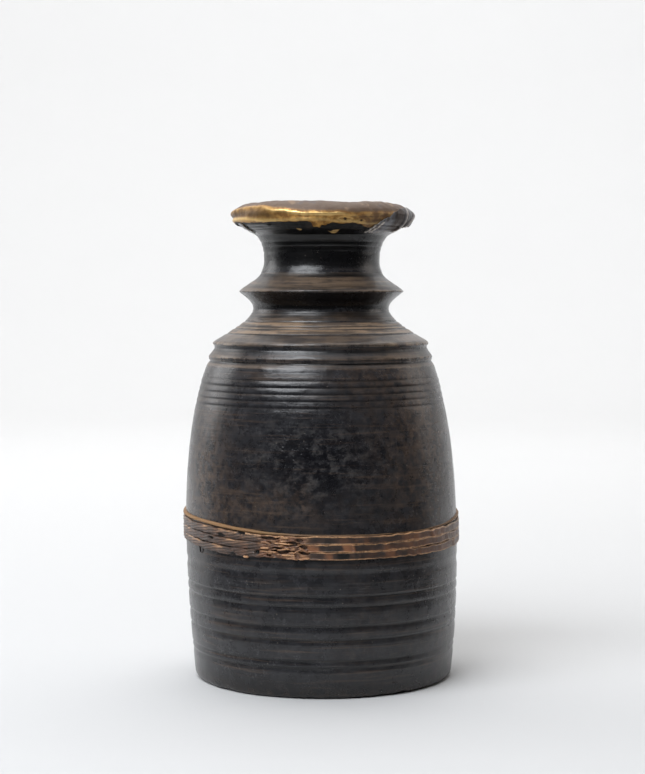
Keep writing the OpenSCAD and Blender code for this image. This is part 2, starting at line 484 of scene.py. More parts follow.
class Recipe(Nodes):
    """Short-hand for one material's nodes."""

    def __init__(self, name):
        self.material = bpy.data.materials.new(name)
        super().__init__(self.material)
        self.shader = self.add("ShaderNodeBsdfPrincipled")
        out = self.add("ShaderNodeOutputMaterial")
        self.link(self.shader.outputs[0], out.inputs["Surface"])
        self.place = self.add("ShaderNodeTexCoord").outputs["Object"]

    def stretched(self, scale):
        """The object's own coordinates, scaled by axis."""
        mapping = self.add("ShaderNodeMapping")
        self.link(self.place, mapping.inputs["Vector"])
        mapping.inputs["Scale"].default_value = scale
        return mapping.outputs[0]

    def noise(self, scale, detail=3.0, rough=0.55, place=None, distort=0.0):
        made = self.add("ShaderNodeTexNoise")
        self.link(place or self.place, made.inputs["Vector"])
        made.inputs["Scale"].default_value = scale
        made.inputs["Detail"].default_value = detail
        made.inputs["Roughness"].default_value = rough
        made.inputs["Distortion"].default_value = distort
        return made.outputs["Fac"]

    def cells(self, scale, place=None):
        made = self.add("ShaderNodeTexVoronoi")
        self.link(place or self.place, made.inputs["Vector"])
        made.inputs["Scale"].default_value = scale
        return made.outputs["Distance"]

    def stored(self, name):
        return self.add("ShaderNodeAttribute", attribute_name=name).outputs["Fac"]

    def span(self, value, low, high, to_low=0.0, to_high=1.0):
        """value from low to high, as a share from to_low to to_high, eased and held at its ends."""
        made = self.add("ShaderNodeMapRange", interpolation_type="SMOOTHSTEP")
        numbers = {"Value": value, "From Min": low, "From Max": high, "To Min": to_low, "To Max": to_high}
        for key, number in numbers.items():
            self.link(number, made.inputs[key])
        return made.outputs[0]

    def maths(self, kind, first, second=0.0):
        made = self.add("ShaderNodeMath", operation=kind)
        self.link(first, made.inputs[0])
        self.link(second, made.inputs[1])
        return made.outputs[0]

    def times(self, first, second):
        return self.maths("MULTIPLY", first, second)

    def total(self, first, *others):
        """The sum of several values."""
        for other in others:
            first = self.maths("ADD", first, other)
        return first

    def mix(self, share, first, second):
        """Colour first where share is 0, second where it is 1."""
        made = self.add("ShaderNodeMix", data_type="RGBA")
        self.link(share, made.inputs[0])
        for value, target in ((first, made.inputs[6]), (second, made.inputs[7])):
            self.link(value if isinstance(value, bpy.types.NodeSocket) else (*value, 1.0), target)
        return made.outputs[2]

    def coats(self, base, *layers):
        """Colours laid over a base one after another, each as (share, colour)."""
        for share, colour in layers:
            base = self.mix(share, base, colour)
        return base

    def relief(self, *layers):
        """Bumps laid one over another, each as (height, its distance in millimetres)."""
        below = None
        for height, distance in layers:
            made = self.add("ShaderNodeBump")
            made.inputs["Strength"].default_value = 1.0
            made.inputs["Distance"].default_value = distance * MM
            self.link(height, made.inputs["Height"])
            if below is not None:
                self.link(below, made.inputs["Normal"])
            below = made.outputs[0]
        return below

    def finish(self, colour, rough, bumps, metal=0.0, specular=0.5):
        self.link(colour, self.shader.inputs["Base Color"])
        self.link(rough, self.shader.inputs["Roughness"])
        self.link(metal, self.shader.inputs["Metallic"])
        self.shader.inputs["Specular IOR Level"].default_value = specular
        if bumps is not None:
            self.link(bumps, self.shader.inputs["Normal"])
        return self.material


def blackened_wood(wood):
    """Soot-black, hand-polished hardwood: dusty ledges, edges pale from wear and a painted highlight,
    painted shade in hollows.
    """
    r = Recipe("blackened_wood")
    broad, mottle, fine = r.noise(17, 3), r.noise(150, 6, 0.7), r.noise(560, 4, 0.6)
    rings = r.noise(1.0, 4, 0.62, r.stretched((22, 22, 620)))
    lathe = r.noise(1.0, 2, 0.5, r.stretched((9, 9, 1300)))
    ledge, edge, tar, handled, soot_and_shade = (r.stored(n) for n in ("ledge", "edge", "tar", "handled", "soot_and_shade"))
    rubbed = r.total(r.times(handled, 0.6), r.span(broad, 0.5, 0.75, 0.0, 0.22))
    rubbed = r.times(rubbed, r.span(r.noise(230, 5, 0.68), 0.36, 0.64))
    dusty = r.span(r.total(rings, r.times(r.noise(90, 4, 0.65), 0.5)), 0.64, 0.86)
    blots = r.noise(128, 7, 0.76, r.stretched((1, 1, 1.5)), 0.15)
    specks = r.times(r.span(r.cells(260), 0.13, 0.05), r.span(r.noise(60, 3), 0.52, 0.68))
    colour = r.coats(
        wood.soot,
        (r.span(r.span(mottle, 0.36, 0.66), 0, 1, 0.35, 0.8), wood.charcoal),
        (r.times(r.span(rings, 0.53, 0.68), 0.3), wood.brown),
        (rubbed, wood.brown),
        (r.times(ledge, r.span(dusty, 0, 1, 0.25, 0.85)), wood.dust_and_highlight),
        # the edges painted pale: wear, with a painted highlight
        (r.times(edge, r.span(mottle, 0.38, 0.6, 0.1, 0.7)), wood.dust_and_highlight),
        (r.times(tar, r.span(blots, 0.5, 0.64, 0.0, 0.4)), shade(90, 86, 82)),
        (r.times(r.times(tar, r.span(blots, 0.56, 0.44)), 0.95), shade(5, 5, 11)),
        # soot on the neck, and painted shade in the hollows, the cuts, under the flange and at the foot
        (r.times(soot_and_shade, r.span(rings, 0.45, 0.62, 1.0, 0.86)), shade(8, 8, 10)),
        (r.times(specks, 0.45), shade(160, 150, 138)),
    )
    rough = r.total(
        r.span(broad, 0.3, 0.7, 0.24, 0.31),
        r.times(r.maths("SUBTRACT", mottle, 0.5), 0.16),
        r.times(ledge, 0.16),
        r.times(r.stored("polished"), -0.05),
    )
    pits = r.times(r.span(r.cells(430), 0.05, 0.42), tar)
    relief = r.relief((lathe, 0.07), (rings, 0.1), (r.noise(130, 3, 0.5), 0.22), (fine, 0.07), (pits, 0.14))
    return r.finish(colour, rough, relief)


def worn_brass(rim):
    """Brass sheet: bright on its folds, golden on its face, dull brown on top and sooty underneath."""
    r = Recipe("worn_brass")
    fine, patch, broad = r.noise(650, 4, 0.65), r.noise(210, 5, 0.64), r.noise(75, 3, 0.55)
    crease, sooty, top = r.stored("crease"), r.stored("sooty"), r.stored("top")
    dull = r.coats(
        shade(98, 80, 66),
        (r.span(patch, 0.4, 0.6), rim.patina),
        (r.times(r.span(broad, 0.56, 0.68), 0.7), shade(82, 72, 70)),
        (r.times(r.span(r.noise(120, 4, 0.6), 0.58, 0.68), 0.6), shade(140, 114, 87)),
    )
    gold = r.coats(
        shade(136, 96, 48),
        (r.span(patch, 0.38, 0.6), rim.gold),
        (r.times(r.span(fine, 0.56, 0.7), 0.5), shade(104, 74, 42)),
        (r.times(r.stored("shaded"), 0.9), shade(80, 58, 30)),
    )
    soot = r.mix(r.span(broad, 0.54, 0.68, 0.0, 0.8), rim.grime, shade(58, 46, 38))
    bright = r.times(crease, r.span(patch, 0.3, 0.5, 0.6, 1.0))
    colour = r.coats(gold, (top, dull), (bright, rim.brass), (sooty, soot))
    rough = r.span(patch, 0.35, 0.65, 0.5, 0.4)
    rough = r.total(rough, r.times(r.total(top, sooty), 0.12), r.times(crease, -0.14))
    metal = r.times(r.maths("SUBTRACT", 0.42, r.times(top, 0.3)), r.maths("SUBTRACT", 1.0, sooty))
    metal = r.total(metal, r.times(crease, 0.35))
    return r.finish(colour, rough, r.relief((patch, 0.45), (fine, 0.12)), metal)


def grey_sheet(rim):
    """Dull grey sheet, paler on its folds and brown in its pleats."""
    r = Recipe("grey_sheet")
    fine, patch = r.noise(600, 4, 0.6), r.noise(170, 4, 0.6)
    crease, sooty = r.stored("crease"), r.stored("sooty")
    colour = r.coats(
        rim.grey,
        (r.span(patch, 0.4, 0.62), shade(84, 80, 80)),
        (r.times(crease, r.span(fine, 0.3, 0.55, 0.55, 1.0)), shade(198, 188, 178)),
        (r.times(sooty, r.maths("SUBTRACT", 1.0, crease)), shade(52, 38, 29)),
    )
    rough = r.span(fine, 0.3, 0.7, 0.34, 0.52)
    return r.finish(colour, rough, r.relief((patch, 0.35), (fine, 0.08)), 0.4)


def dark_tack():
    """Hammered tack heads, nearly black."""
    r = Recipe("dark_tack")
    fine = r.noise(1500, 3)
    colour = r.mix(r.span(fine, 0.4, 0.7), shade(58, 43, 30), shade(110, 82, 50))
    return r.finish(colour, r.span(fine, 0.3, 0.7, 0.35, 0.6), r.relief((fine, 0.1)), 0.6)


def split_cane(name, face, patches, worn, grime=shade(38, 32, 30), dry=0.0):
    """Split cane: smoked faces with fibres along them, pale where rubbed, dark in the hollows and in
    painted shade, greyed by bleach and painted sheen.
    """
    r = Recipe(name)
    across, run, rubbed = r.stored("across"), r.stored("run"), r.stored("rubbed")
    russet, grime_and_shade, bleach_and_sheen = r.stored("russet"), r.stored("grime_and_shade"), r.stored("bleach_and_sheen")
    fibre_place = r.add("ShaderNodeCombineXYZ")
    r.link(r.times(run, 110), fibre_place.inputs[0])
    r.link(r.times(across, 2600), fibre_place.inputs[1])
    fibre = r.noise(1.0, 4, 0.6, fibre_place.outputs[0])
    patch, fine = r.noise(120, 4, 0.62), r.noise(800, 3, 0.6)
    pale = r.times(rubbed, r.span(r.total(fine, r.times(patch, 0.8)), 0.7, 1.05, 0.3, 1.0))
    colour = r.coats(
        face,
        (r.total(r.times(r.span(patch, 0.46, 0.64), 0.4), r.times(russet, 0.9)), patches),
        (r.times(r.span(fibre, 0.45, 0.66), 0.3), patches),
        # darkened: smoke and grime, with painted shade where the hoop sinks behind the rows
        (r.times(grime_and_shade, r.span(fibre, 0.35, 0.6, 0.95, 0.7)), grime),
        # greyed at the far sides of the band: bleaching, with a painted reflection
        (r.times(bleach_and_sheen, 0.5), shade(134, 124, 118)),
        (r.span(grime_and_shade, 0.88, 0.98), shade(12, 10, 9)),
        (pale, r.mix(r.times(bleach_and_sheen, 0.85), worn, shade(196, 182, 168))),
    )
    rough = r.span(fibre, 0.3, 0.7, 0.33 + dry, 0.55 + dry)
    return r.finish(colour, rough, r.relief((fibre, 0.2), (fine, 0.1)))


# ---------------------------------------------------------------------------
# Pieces

# Scars in the wood: angle, height, half width, half height and depth, in degrees and millimetres
SCARS = [
    (-8.2, 119.5, 4.2, 5.6, 0.55),
    (-6.8, 116.0, 3.0, 2.0, 0.5),
    (-26.0, 142.0, 2.5, 1.2, 0.35),
    (33.0, 131.0, 3.5, 1.4, 0.3),
    (62.0, 160.0, 5.0, 1.6, 0.35),
    (118.0, 120.0, 6.0, 3.0, 0.5),
    (-131.0, 148.0, 5.0, 2.4, 0.4),
    (171.0, 64.0, 7.0, 2.6, 0.5),
]


def displaced_block(wood, rings, angles, hollow_share):
    """Points of the block with its bow, wear, dents and scars, and the shares that colour it."""
    wide = np.ones((len(rings[0]), len(angles)))
    radius, height, normal_r, normal_z, hollow = (v[:, None] * wide for v in rings[:5])
    angle = angles[None, :] * wide
    flat = around(angle, radius, height).reshape(-1, 3)

    def lumps(size, seed, height_scale=1):
        return soft_noise(flat * (1, 1, height_scale), size * MM, seed).reshape(wide.shape)

    long_wave, dents, grain = lumps(70, 1, 0.6), lumps(17, 2), lumps(5, 3, 1.8)
    worn_away = smooth_step(lumps(24, 4) * 0.9 + 0.45) * wood.wear
    push = wood.out_of_round * long_wave + 0.12 * MM * dents + 0.05 * MM * grain
    push += hollow * worn_away * hollow_share
    nicks = smooth_step((lumps(7, 5) - 0.35) / 0.3)
    push -= nicks * np.clip(-hollow, 0, 0.35 * MM) * 0.9
    scarred = np.zeros(wide.shape)
    for at, level, half_width, half_height, depth in SCARS:
        side = np.radians(turned(angle - at)) * radius / (half_width * MM)
        up = (height - level * MM) / (half_height * MM)
        scar = smooth_step(1.25 - np.abs(side) - np.abs(up) + 0.25 * grain)
        scarred = np.maximum(scarred, scar)
        push -= scar * depth * MM
    foot = np.clip(1 - height / (5 * MM), 0, 1) * (normal_r > 0.2)
    chips = smooth_step((lumps(9, 6) - 0.2) / 0.5)
    push -= foot * chips * 0.5 * MM
    radius = radius + push * normal_r
    height = np.maximum(height + push * normal_z, 0.0)
    points = around(angle, radius, height)
    points[..., 0] += bow_at(height, wood.lean)
    return points, angle, scarred


def bow_at(height, lean):
    """Sideways bow of the block at a height: the belly leans left of the foot and of the mouth."""
    share = height / (section.high.z * 1.15)
    return lean * (0.47 - np.sin(math.pi * np.clip(share, 0, 1)) ** 2)


# Bands up the outside as shares of its height: the ledge under the shoulder cone, the foot of the cone, the
# flange, the hollow under it and the neck above it
LOW_LEDGE, BELT, FLANGE = (0.675, 0.706), (0.731, 0.758), (0.81, 0.865)
UNDER_FLANGE, NECK = (0.782, 0.8205), (0.865, 0.985)


def block_values(rings, angle, scarred):
    """Where the outside faces up, is edged, tarred, sooted or worn brown by hands, and where shade is
    painted on it.
    """
    radius, height, _, normal_z, hollow, cut = (v[:, None] * np.ones(angle.shape) for v in rings)
    top = section.high.z
    flat = around(angle, radius, 0.5 * height).reshape(-1, 3)
    drift = 1.2 * MM * soft_noise(flat, 14 * MM, 21).reshape(angle.shape)
    level = height + drift

    def between(band, at_low, at_high, ease_low=1.0, ease_high=1.0):
        """1 inside a band of heights, easing to 0 over so many millimetres at its two ends."""
        rising = smooth_step((at_low - band[0] * top) / (ease_low * MM))
        return rising * smooth_step((band[1] * top - at_high) / (ease_high * MM))

    # pale edges: wear with a painted highlight, only high up and stronger at the sides
    edge = smooth_step((-hollow - 0.08 * MM) / (0.2 * MM))
    edge *= smooth_step((height - 0.66 * top) / (0.01 * top))
    groove = smooth_step(hollow / (0.1 * MM))
    facing_up = smooth_step((normal_z - 0.3) / 0.3)
    belt = between(BELT, level, level)
    flange = between(FLANGE, height, level, 1, 2)
    low_ledge = between(LOW_LEDGE, height, height)
    sides = smooth_step((np.abs(turned(angle + 8)) - 26) / 30)
    rubbed_flange = np.maximum(bump(turned(angle - 28), 0, 13), 0.6 * bump(turned(angle + 22), 0, 12))
    rubbed_flange *= bump(level, 0.862 * top, 2.6 * MM)
    ledge = 0.3 + 0.58 * belt + 0.2 * flange + 0.6 * rubbed_flange + (0.3 * sides - 0.28) * low_ledge
    ledge = facing_up * np.clip(ledge, 0, 1)
    ledge *= 1 - 0.75 * bump(height, 0.8215 * top, 0.9 * MM)
    edge *= 0.25 + 0.5 * sides
    ledge *= smooth_step((0.87 * top - level) / (2 * MM))
    tar = bump(turned(angle + 3), 0, 31) * bump(height, 0.48 * top, 0.085 * top)
    neck = between(NECK, level, height, 2, 3)
    under = between(UNDER_FLANGE, level, height, 1, 0.5)
    ragged = np.clip(0.8 + 0.35 * drift / MM, 0, 1)
    streaks = 0.6 * bump(level, 0.829 * top, 1.1 * MM) * facing_up
    foot = 0.6 * smooth_step((0.06 * top - height) / (0.04 * top))
    # soot on the neck and in the streaks; painted shadow under the flange; painted shade, partly soot, in
    # hollows facing up; painted shade in the cuts and at the foot
    soot_and_shade = np.maximum.reduce([
        0.96 * neck * (1 - rubbed_flange),
        under,
        groove * facing_up * 0.9,
        ragged * cut,
        streaks,
        foot,
    ])
    handled = np.maximum.reduce([
        bump(turned(angle - 52), 0, 26) * bump(height, 0.52 * top, 0.2 * top),
        bump(turned(angle + 58), 0, 17) * bump(height, 0.43 * top, 0.13 * top),
        0.75 * bump(turned(angle + 50), 0, 42) * bump(height, 0.385 * top, 0.045 * top),
        0.7 * bump(height, 0, 0.02 * top),
        0.8 * bump(turned(angle - 150), 0, 40) * bump(height, 0.45 * top, 0.25 * top),
        scarred,
    ])
    polished = bump(height, 0.655 * top, 0.016 * top)
    kept = {"ledge": ledge, "edge": edge, "tar": tar}
    return {**kept, "handled": handled, "soot_and_shade": soot_and_shade, "polished": polished}


class JAR_OT_turned_block(bpy.types.Operator):
    """Builds the turned wooden block: foot, belly, shoulder, flange, neck and hollow"""

    bl_idname = "jar.turned_block"
    bl_label = "Turned block"

    def execute(self, context):
        wood = context.scene.jar_wood
        angles = np.linspace(-180, 180, wood.segments, endpoint=False)
        rings = outer_outline(wood.outer_rings)
        outer, angle, scarred = displaced_block(wood, rings, angles, 1.0)
        values = block_values(rings, angle, scarred)
        # the hollow, from the mouth down to the floor
        floor = section.floor()
        inner_height = np.linspace(section.high.z - 0.3 * MM, floor + 0.4 * MM, 90)
        inner_radius = np.array([section.inside(z) for z in inner_height])
        foot_radius = rings[0][0]
        floor_radius = inner_radius[-1] * np.array([0.8, 0.55, 0.3, 0.1])
        under_radius = foot_radius * np.array([0.1, 0.3, 0.55, 0.75, 0.9, 0.98])
        columns = len(angles)

        def plain(radius, height, roughness):
            height = np.broadcast_to(height, np.shape(radius))
            grid = around(angles[None, :], radius[:, None], height[:, None])
            lumps = soft_noise(grid.reshape(-1, 3), 6 * MM, 9).reshape(grid.shape[:2])
            grid[..., 0] += bow_at(grid[..., 2], wood.lean)
            grid += (grid * (1, 1, 0)) / np.maximum(np.linalg.norm(grid[..., :2], axis=-1), MM)[..., None] \
                * (lumps * roughness)[..., None]
            return grid

        under = plain(under_radius, 0.0, 0.0)
        inner = plain(inner_radius, inner_height, 0.15 * MM)
        bottom = plain(floor_radius, floor, 0.0)
        points = np.concatenate([under, outer, inner, bottom])
        rows = len(points)
        index = np.arange(rows * columns).reshape(rows, columns)
        index = np.concatenate([index, index[:, :1]], axis=1)
        faces = squares(index)
        centre_low, centre_high = rows * columns, rows * columns + 1
        faces += [[centre_low, int(b), int(a)] for a, b in zip(index[0, :-1], index[0, 1:])]
        faces += [[centre_high, int(a), int(b)] for a, b in zip(index[-1, :-1], index[-1, 1:])]
        centres = [[bow_at(0.0, wood.lean), 0, 0], [bow_at(floor, wood.lean), 0, floor]]
        flat = np.concatenate([points.reshape(-1, 3), centres])
        before, after = len(under) * columns, (len(inner) + len(bottom)) * columns + 2
        # the hollow is a little browned all over
        for key, v in values.items():
            within_it = 0.15 if key == "handled" else 0.0
            values[key] = np.concatenate([np.zeros(before), v.ravel(), np.full(after, within_it)])
        piece = finish_mesh("turned_block", flat, faces, values)
        dress(piece, "black_wood", blackened_wood(wood), BLOCK)
        return {"FINISHED"}


# ------------------------------------------------------------------ metal lip


def lip_reach(turns):
    """Distance from the middle of the lip's section to its surface, at angles up from level outwards."""
    reach = []
    for turn in turns:
        t = math.radians(turn)
        radius, height = section.cast((0, -lip_middle[0], lip_middle[1]), (0, -math.cos(t), math.sin(t)))
        reach.append(math.hypot(radius - lip_middle[0], height - lip_middle[1]))
    return np.array(reach)


lip_level = section.high.z - 6 * MM
lip_middle = ((section.outside(lip_level) + section.inside(lip_level)) / 2, section.high.z - 6.6 * MM)
LIP_LOW, LIP_HIGH = -112, 205
lip_turns = np.arange(LIP_LOW, LIP_HIGH + 1, 2.0)
lip_table = lip_reach(lip_turns)

# How high the metal stands on the lip, by angle round the mouth, in millimetres
LIP_WAVE = [
    (-180, -0.2), (-140, 0.5), (-100, -0.3), (-62, 0.1), (-28, 0.9), (0, 0.25), (16, -0.45), (30, 0.15),
    (48, 0.8), (62, 0.3), (80, -0.7), (105, -0.2), (135, 0.6), (165, -0.4), (180, -0.2),
]


def knots(angle, pairs):
    """Reads a short list of (angle, value) pairs, easing between them."""
    places, values = zip(*pairs)
    return np.interp(angle, places, values)


def on_lip(angle, turn, stand_off):
    """Points over the lip: angle round the mouth, turn round the lip's own section, both in degrees."""
    reach = np.interp(turn, lip_turns, lip_table) + stand_off
    t = np.radians(turn)
    radius = lip_middle[0] + reach * np.cos(t)
    height = lip_middle[1] + reach * np.sin(t)
    height = height + knots(turned(angle), LIP_WAVE) * MM * np.clip(np.sin(t) + 0.3, 0, 1)
    points = around(angle, radius, height)
    points[..., 0] += bow_at(section.high.z, bpy.context.scene.jar_wood.lean)
    return points


def crumpled(angle, turn, size, seed):
    """Dents in the sheet at points of the lip, from -1 to 1."""
    flat = on_lip(angle, turn, 0.0).reshape(-1, 3)
    return soft_noise(flat, size, seed).reshape(angle.shape)


# Courses along the sheet, as (angle round the mouth, turn round the lip's section), in degrees
# the sharp fold along the face
RIDGE = [
    (-180, 14), (-130, 8), (-100, 8), (-86, 14), (-64, 29), (-54, 36), (-42, 32), (-32, 14), (-24, 12),
    (-19, 6), (-12, 1), (2, 0), (5, 1), (9, 3), (14, 2), (20, -5), (31, 2), (60, 6), (90, 12),
    (130, 16), (180, 14),
]
# how bright that fold is worn
RIDGE_SHINE = [
    (-180, 0.3), (-110, 0.2), (-90, 0.12), (-45, 0.1), (-34, 0.45), (-27, 1), (-22, 0.9), (-20, 0.4),
    (-18, 1), (-8, 0.95), (5, 1), (9, 0.7), (16, 0.4), (24, 0.1), (60, 0.1), (120, 0.4), (180, 0.3),
]
# the rolled lower lip of the sheet
HEM = [
    (-180, -20), (-120, -16), (-78, -12), (-58, -14), (-44, -22), (-34, -25), (-22, -24), (-10, -21),
    (2, -23), (6, -29), (14, -32), (22, -32), (30, -44), (60, -24), (120, -20), (180, -20),
]
# where the clean brass stops
BRASS_EDGE = [
    (-180, -34), (-120, -28), (-95, -24), (-77, -20), (-52, -32), (-39, -32), (-34, -30), (-20, -31),
    (-9, -30), (-7, -36), (-5.5, -74), (-2.5, -76), (-1, -54), (2, -55), (4, -44), (6, -36), (12, -46),
    (16, -40), (19, -35), (24, -43), (28, -54), (32, -72), (36, -70), (60, -60), (100, -40), (140, -34),
    (180, -34),
]
# where the torn and sooty skirt under it ends
SKIRT_END = [
    (-180, -55), (-150, -44), (-125, -60), (-100, -40), (-84, -28), (-60, -39), (-45, -46), (-36, -58),
    (-29, -84), (-23, -98), (-15, -88), (-8, -100), (-2, -92), (6, -104), (14, -90), (20, -86),
    (28, -98), (33, -80), (45, -76), (70, -62), (95, -44), (120, -62), (150, -40), (180, -55),
]


# Dimples round the two front tacks: angle, turn, half width and half height in degrees
DIMPLES = [(14.2, -20, 4.2, 9.0), (25.2, -28, 2.2, 5.0)]


def brass_sheet(name, low, high, seed):
    """One brass sheet bent over the lip between two angles round the mouth."""
    rim = bpy.context.scene.jar_rim
    angles = np.arange(low, high + 0.01, 0.6)
    at = turned(angles)
    flat = np.zeros((len(angles), 1))
    column = angles[:, None]
    edge = knots(at, BRASS_EDGE) + 3.0 * crumpled(column, flat - 40, 1.8 * MM, seed)[:, 0]
    end = knots(at, SKIRT_END) + 7 * crumpled(column, flat - 80, 2.4 * MM, seed + 1)[:, 0]
    end = np.minimum(end, edge - 3)
    ridge_at = knots(at, RIDGE) + 1.5 * crumpled(column, flat, 5 * MM, seed + 2)[:, 0]
    inner = 188 + 9 * crumpled(column, flat + 180, 3 * MM, seed + 3)[:, 0]
    # courses of points crowd at the cut edge and at the fold
    courses = [(end, edge - 1, 14), (edge + 1, ridge_at - 6, 14), (ridge_at - 4, ridge_at + 4, 7),
               (ridge_at + 7, ridge_at * 0 + 70, 16), (ridge_at * 0 + 74, inner, 22)]
    turn = np.concatenate([np.linspace(a, b, n, axis=1) for a, b, n in courses], axis=1)
    angle = np.broadcast_to(column, turn.shape).copy()
    wide = np.ones(turn.shape)
    # the ends of the sheet are cut a little unevenly
    ends = np.minimum(angle - low, high - angle)
    angle += 0.6 * crumpled(angle, turn, 5 * MM, seed + 4) * (ends < 1.0)
    edge, ridge_at, hem_at = edge[:, None] * wide, ridge_at[:, None] * wide, knots(at, HEM)[:, None] * wide
    left = bump(at, -84, 26)[:, None] * wide
    ridge = bump(turn, ridge_at, 4.5)
    broad_ridge = bump(turn, ridge_at, 15)
    hem = bump(turn, hem_at, 5.5)
    middle = (ridge_at + hem_at) / 2
    facet = bump(turn, middle, np.maximum(np.abs(ridge_at - hem_at) / 2.6, 5))
    dents = crumpled(angle, turn, 7 * MM, seed + 6)
    small = crumpled(angle, turn, 2.4 * MM, seed + 7)
    sooty = smooth_step((edge - turn) / 2.6 + 0.5)
    above = smooth_step((turn - ridge_at - 6) / 14)
    lift = 0.95 * MM + rim.crumple * (dents + 0.4 * small) * (0.7 + 0.5 * above)
    lift += MM * (0.3 * ridge + left * (1.15 * broad_ridge + 0.3) + 0.32 * hem - 0.42 * facet * (1 + left))
    lift -= 0.42 * MM * sooty
    pleats = crumpled(angle, np.full(turn.shape, -70.0), 3.0 * MM, seed + 8)
    lift += sooty * MM * 0.4 * pleats
    low_shine = 0.55 + 0.45 * within(turned(angle), -84, -28, 12)
    crease = ridge * (knots(at, RIDGE_SHINE)[:, None] + 0.25 * small)
    crease += low_shine * hem * (0.9 + 0.4 * dents)
    crease *= 1 - sooty
    grime = sooty.copy()
    # the dimples, and the thin crack beside them
    for spot, level, half_width, half_height in DIMPLES:
        far = ((turned(angle) - spot) / half_width) ** 2 + ((turn - level) / half_height) ** 2
        lift -= 0.5 * MM * np.exp(-far * 1.6)
        lift += 0.22 * MM * bump(far, 1.25, 0.45)
        crease += 0.5 * bump(far, 1.2, 0.4)
        grime = np.maximum(grime, 0.45 * np.exp(-far * 4))
    crack = within(turned(angle), 17.5, 39, 2) * bump(turn, -9 + 2.5 * small, 1.6)
    lift -= 0.3 * MM * crack
    grime = np.maximum(grime, 0.75 * crack)
    low_turn = smooth_step((-14 - turn) / 12) * within(turned(angle), 33, 70, 8)
    grime = np.maximum(grime, 0.5 * low_turn)
    lift = np.maximum(lift, 0.52 * MM)
    points = on_lip(angle, turn, lift)
    top = np.clip(above + 0.5 * within(turned(angle), 24, 100, 20), 0, 1)
    shaded = within(turned(angle), -100, -30, 18) * bump(turn, middle, np.abs(ridge_at - hem_at) / 2)
    values = {"crease": np.clip(crease, 0, 1), "sooty": np.clip(grime, 0, 1), "top": top, "shaded": shaded}
    piece = grid_mesh(name, points, values=values)
    return thicken(piece, rim.thickness)


def bent_tab(name, at, start_turn, half_width, length, curl, sooty, seed):
    """A torn tongue of the skirt, bent away from the wood: half width in degrees, length and curl in mm."""
    rim = bpy.context.scene.jar_rim
    share = np.linspace(0, 1, 12)
    side = np.linspace(-1, 1, 11)
    along, aside = np.meshgrid(share, side, indexing="ij")
    taper = 1 - 0.75 * along ** 1.5
    angle = at + aside * half_width * taper + along * 0.8
    turn = start_turn - along * length * 7.5
    lift = 0.75 * MM + curl * MM * along ** 2 + 0.15 * MM * crumpled(angle, turn, 2 * MM, seed)
    points = on_lip(angle, np.maximum(turn, LIP_LOW), lift)
    crease = 0.1 + 0.35 * along
    none = np.zeros(crease.shape)
    values = {"crease": crease, "sooty": none + sooty, "top": none + 0.3, "shaded": none}
    return thicken(grid_mesh(name, points[:, ::-1], values=values), rim.thickness)


# Tongues of the front skirt: angle, turn and half width in degrees, length and curl in millimetres, soot
FRONT_TABS = [
    (-17.0, -74, 3.4, 2.0, 0.9, 0.35),
    (7.5, -88, 6.4, 2.6, 1.2, 0.0),
    (12.6, -56, 1.8, 3.4, 0.5, 0.4),
    (-27.0, -66, 3.5, 3.2, 0.5, 0.9),
    (24.0, -70, 3.5, 3.6, 0.4, 0.95),
    (-70.0, -27, 1.6, 10.8, 0.3, 0.85),
]


class JAR_OT_rim_sheets(bpy.types.Operator):
    """Builds the brass sheets folded over the lip, with their torn skirts"""

    bl_idname = "jar.rim_sheets"
    bl_label = "Rim sheets"

    def execute(self, context):
        brass = worn_brass(context.scene.jar_rim)
        tabs = [bent_tab(f"tab_{i}", *tab, seed=60 + i) for i, tab in enumerate(FRONT_TABS)]
        sheet = brass_sheet("front", -101, 31.4, 10)
        dress(joined("rim_brass_front", [sheet, *tabs]), "rim_brass", brass, "rim_sheet_front")
        dress(brass_sheet("rim_brass_right", 30.6, 104.5, 30), "rim_brass", brass, "rim_sheet_right")
        dress(brass_sheet("rim_brass_back", 103.5, 260, 40), "rim_brass", brass, "rim_sheet_back")
        return {"FINISHED"}


# Upper and lower edge of the grey patch as (angle, turn), and its two pleats as (turn, angle) courses with
# their half width in degrees and their height in millimetres
PATCH_TOP = [
    (32, -60), (36, -30), (41, -17), (46, -8), (50, 10), (54, 20), (60, 30), (66, 38), (74, 46),
    (92, 60),
]
PATCH_LOW = [(32, -104), (43, -100), (52, -92), (59, -82), (63, -62), (66, -50), (78, -42), (92, -48)]
PLEATS = [
    ([(-112, 58), (-72, 60), (-49, 62), (-22, 63), (3, 64), (38, 69), (80, 74)], 1.5, 1.3),
    ([(-112, 60), (-44, 68), (-22, 73), (1, 81), (28, 85), (80, 90)], 1.6, 1.2),
]


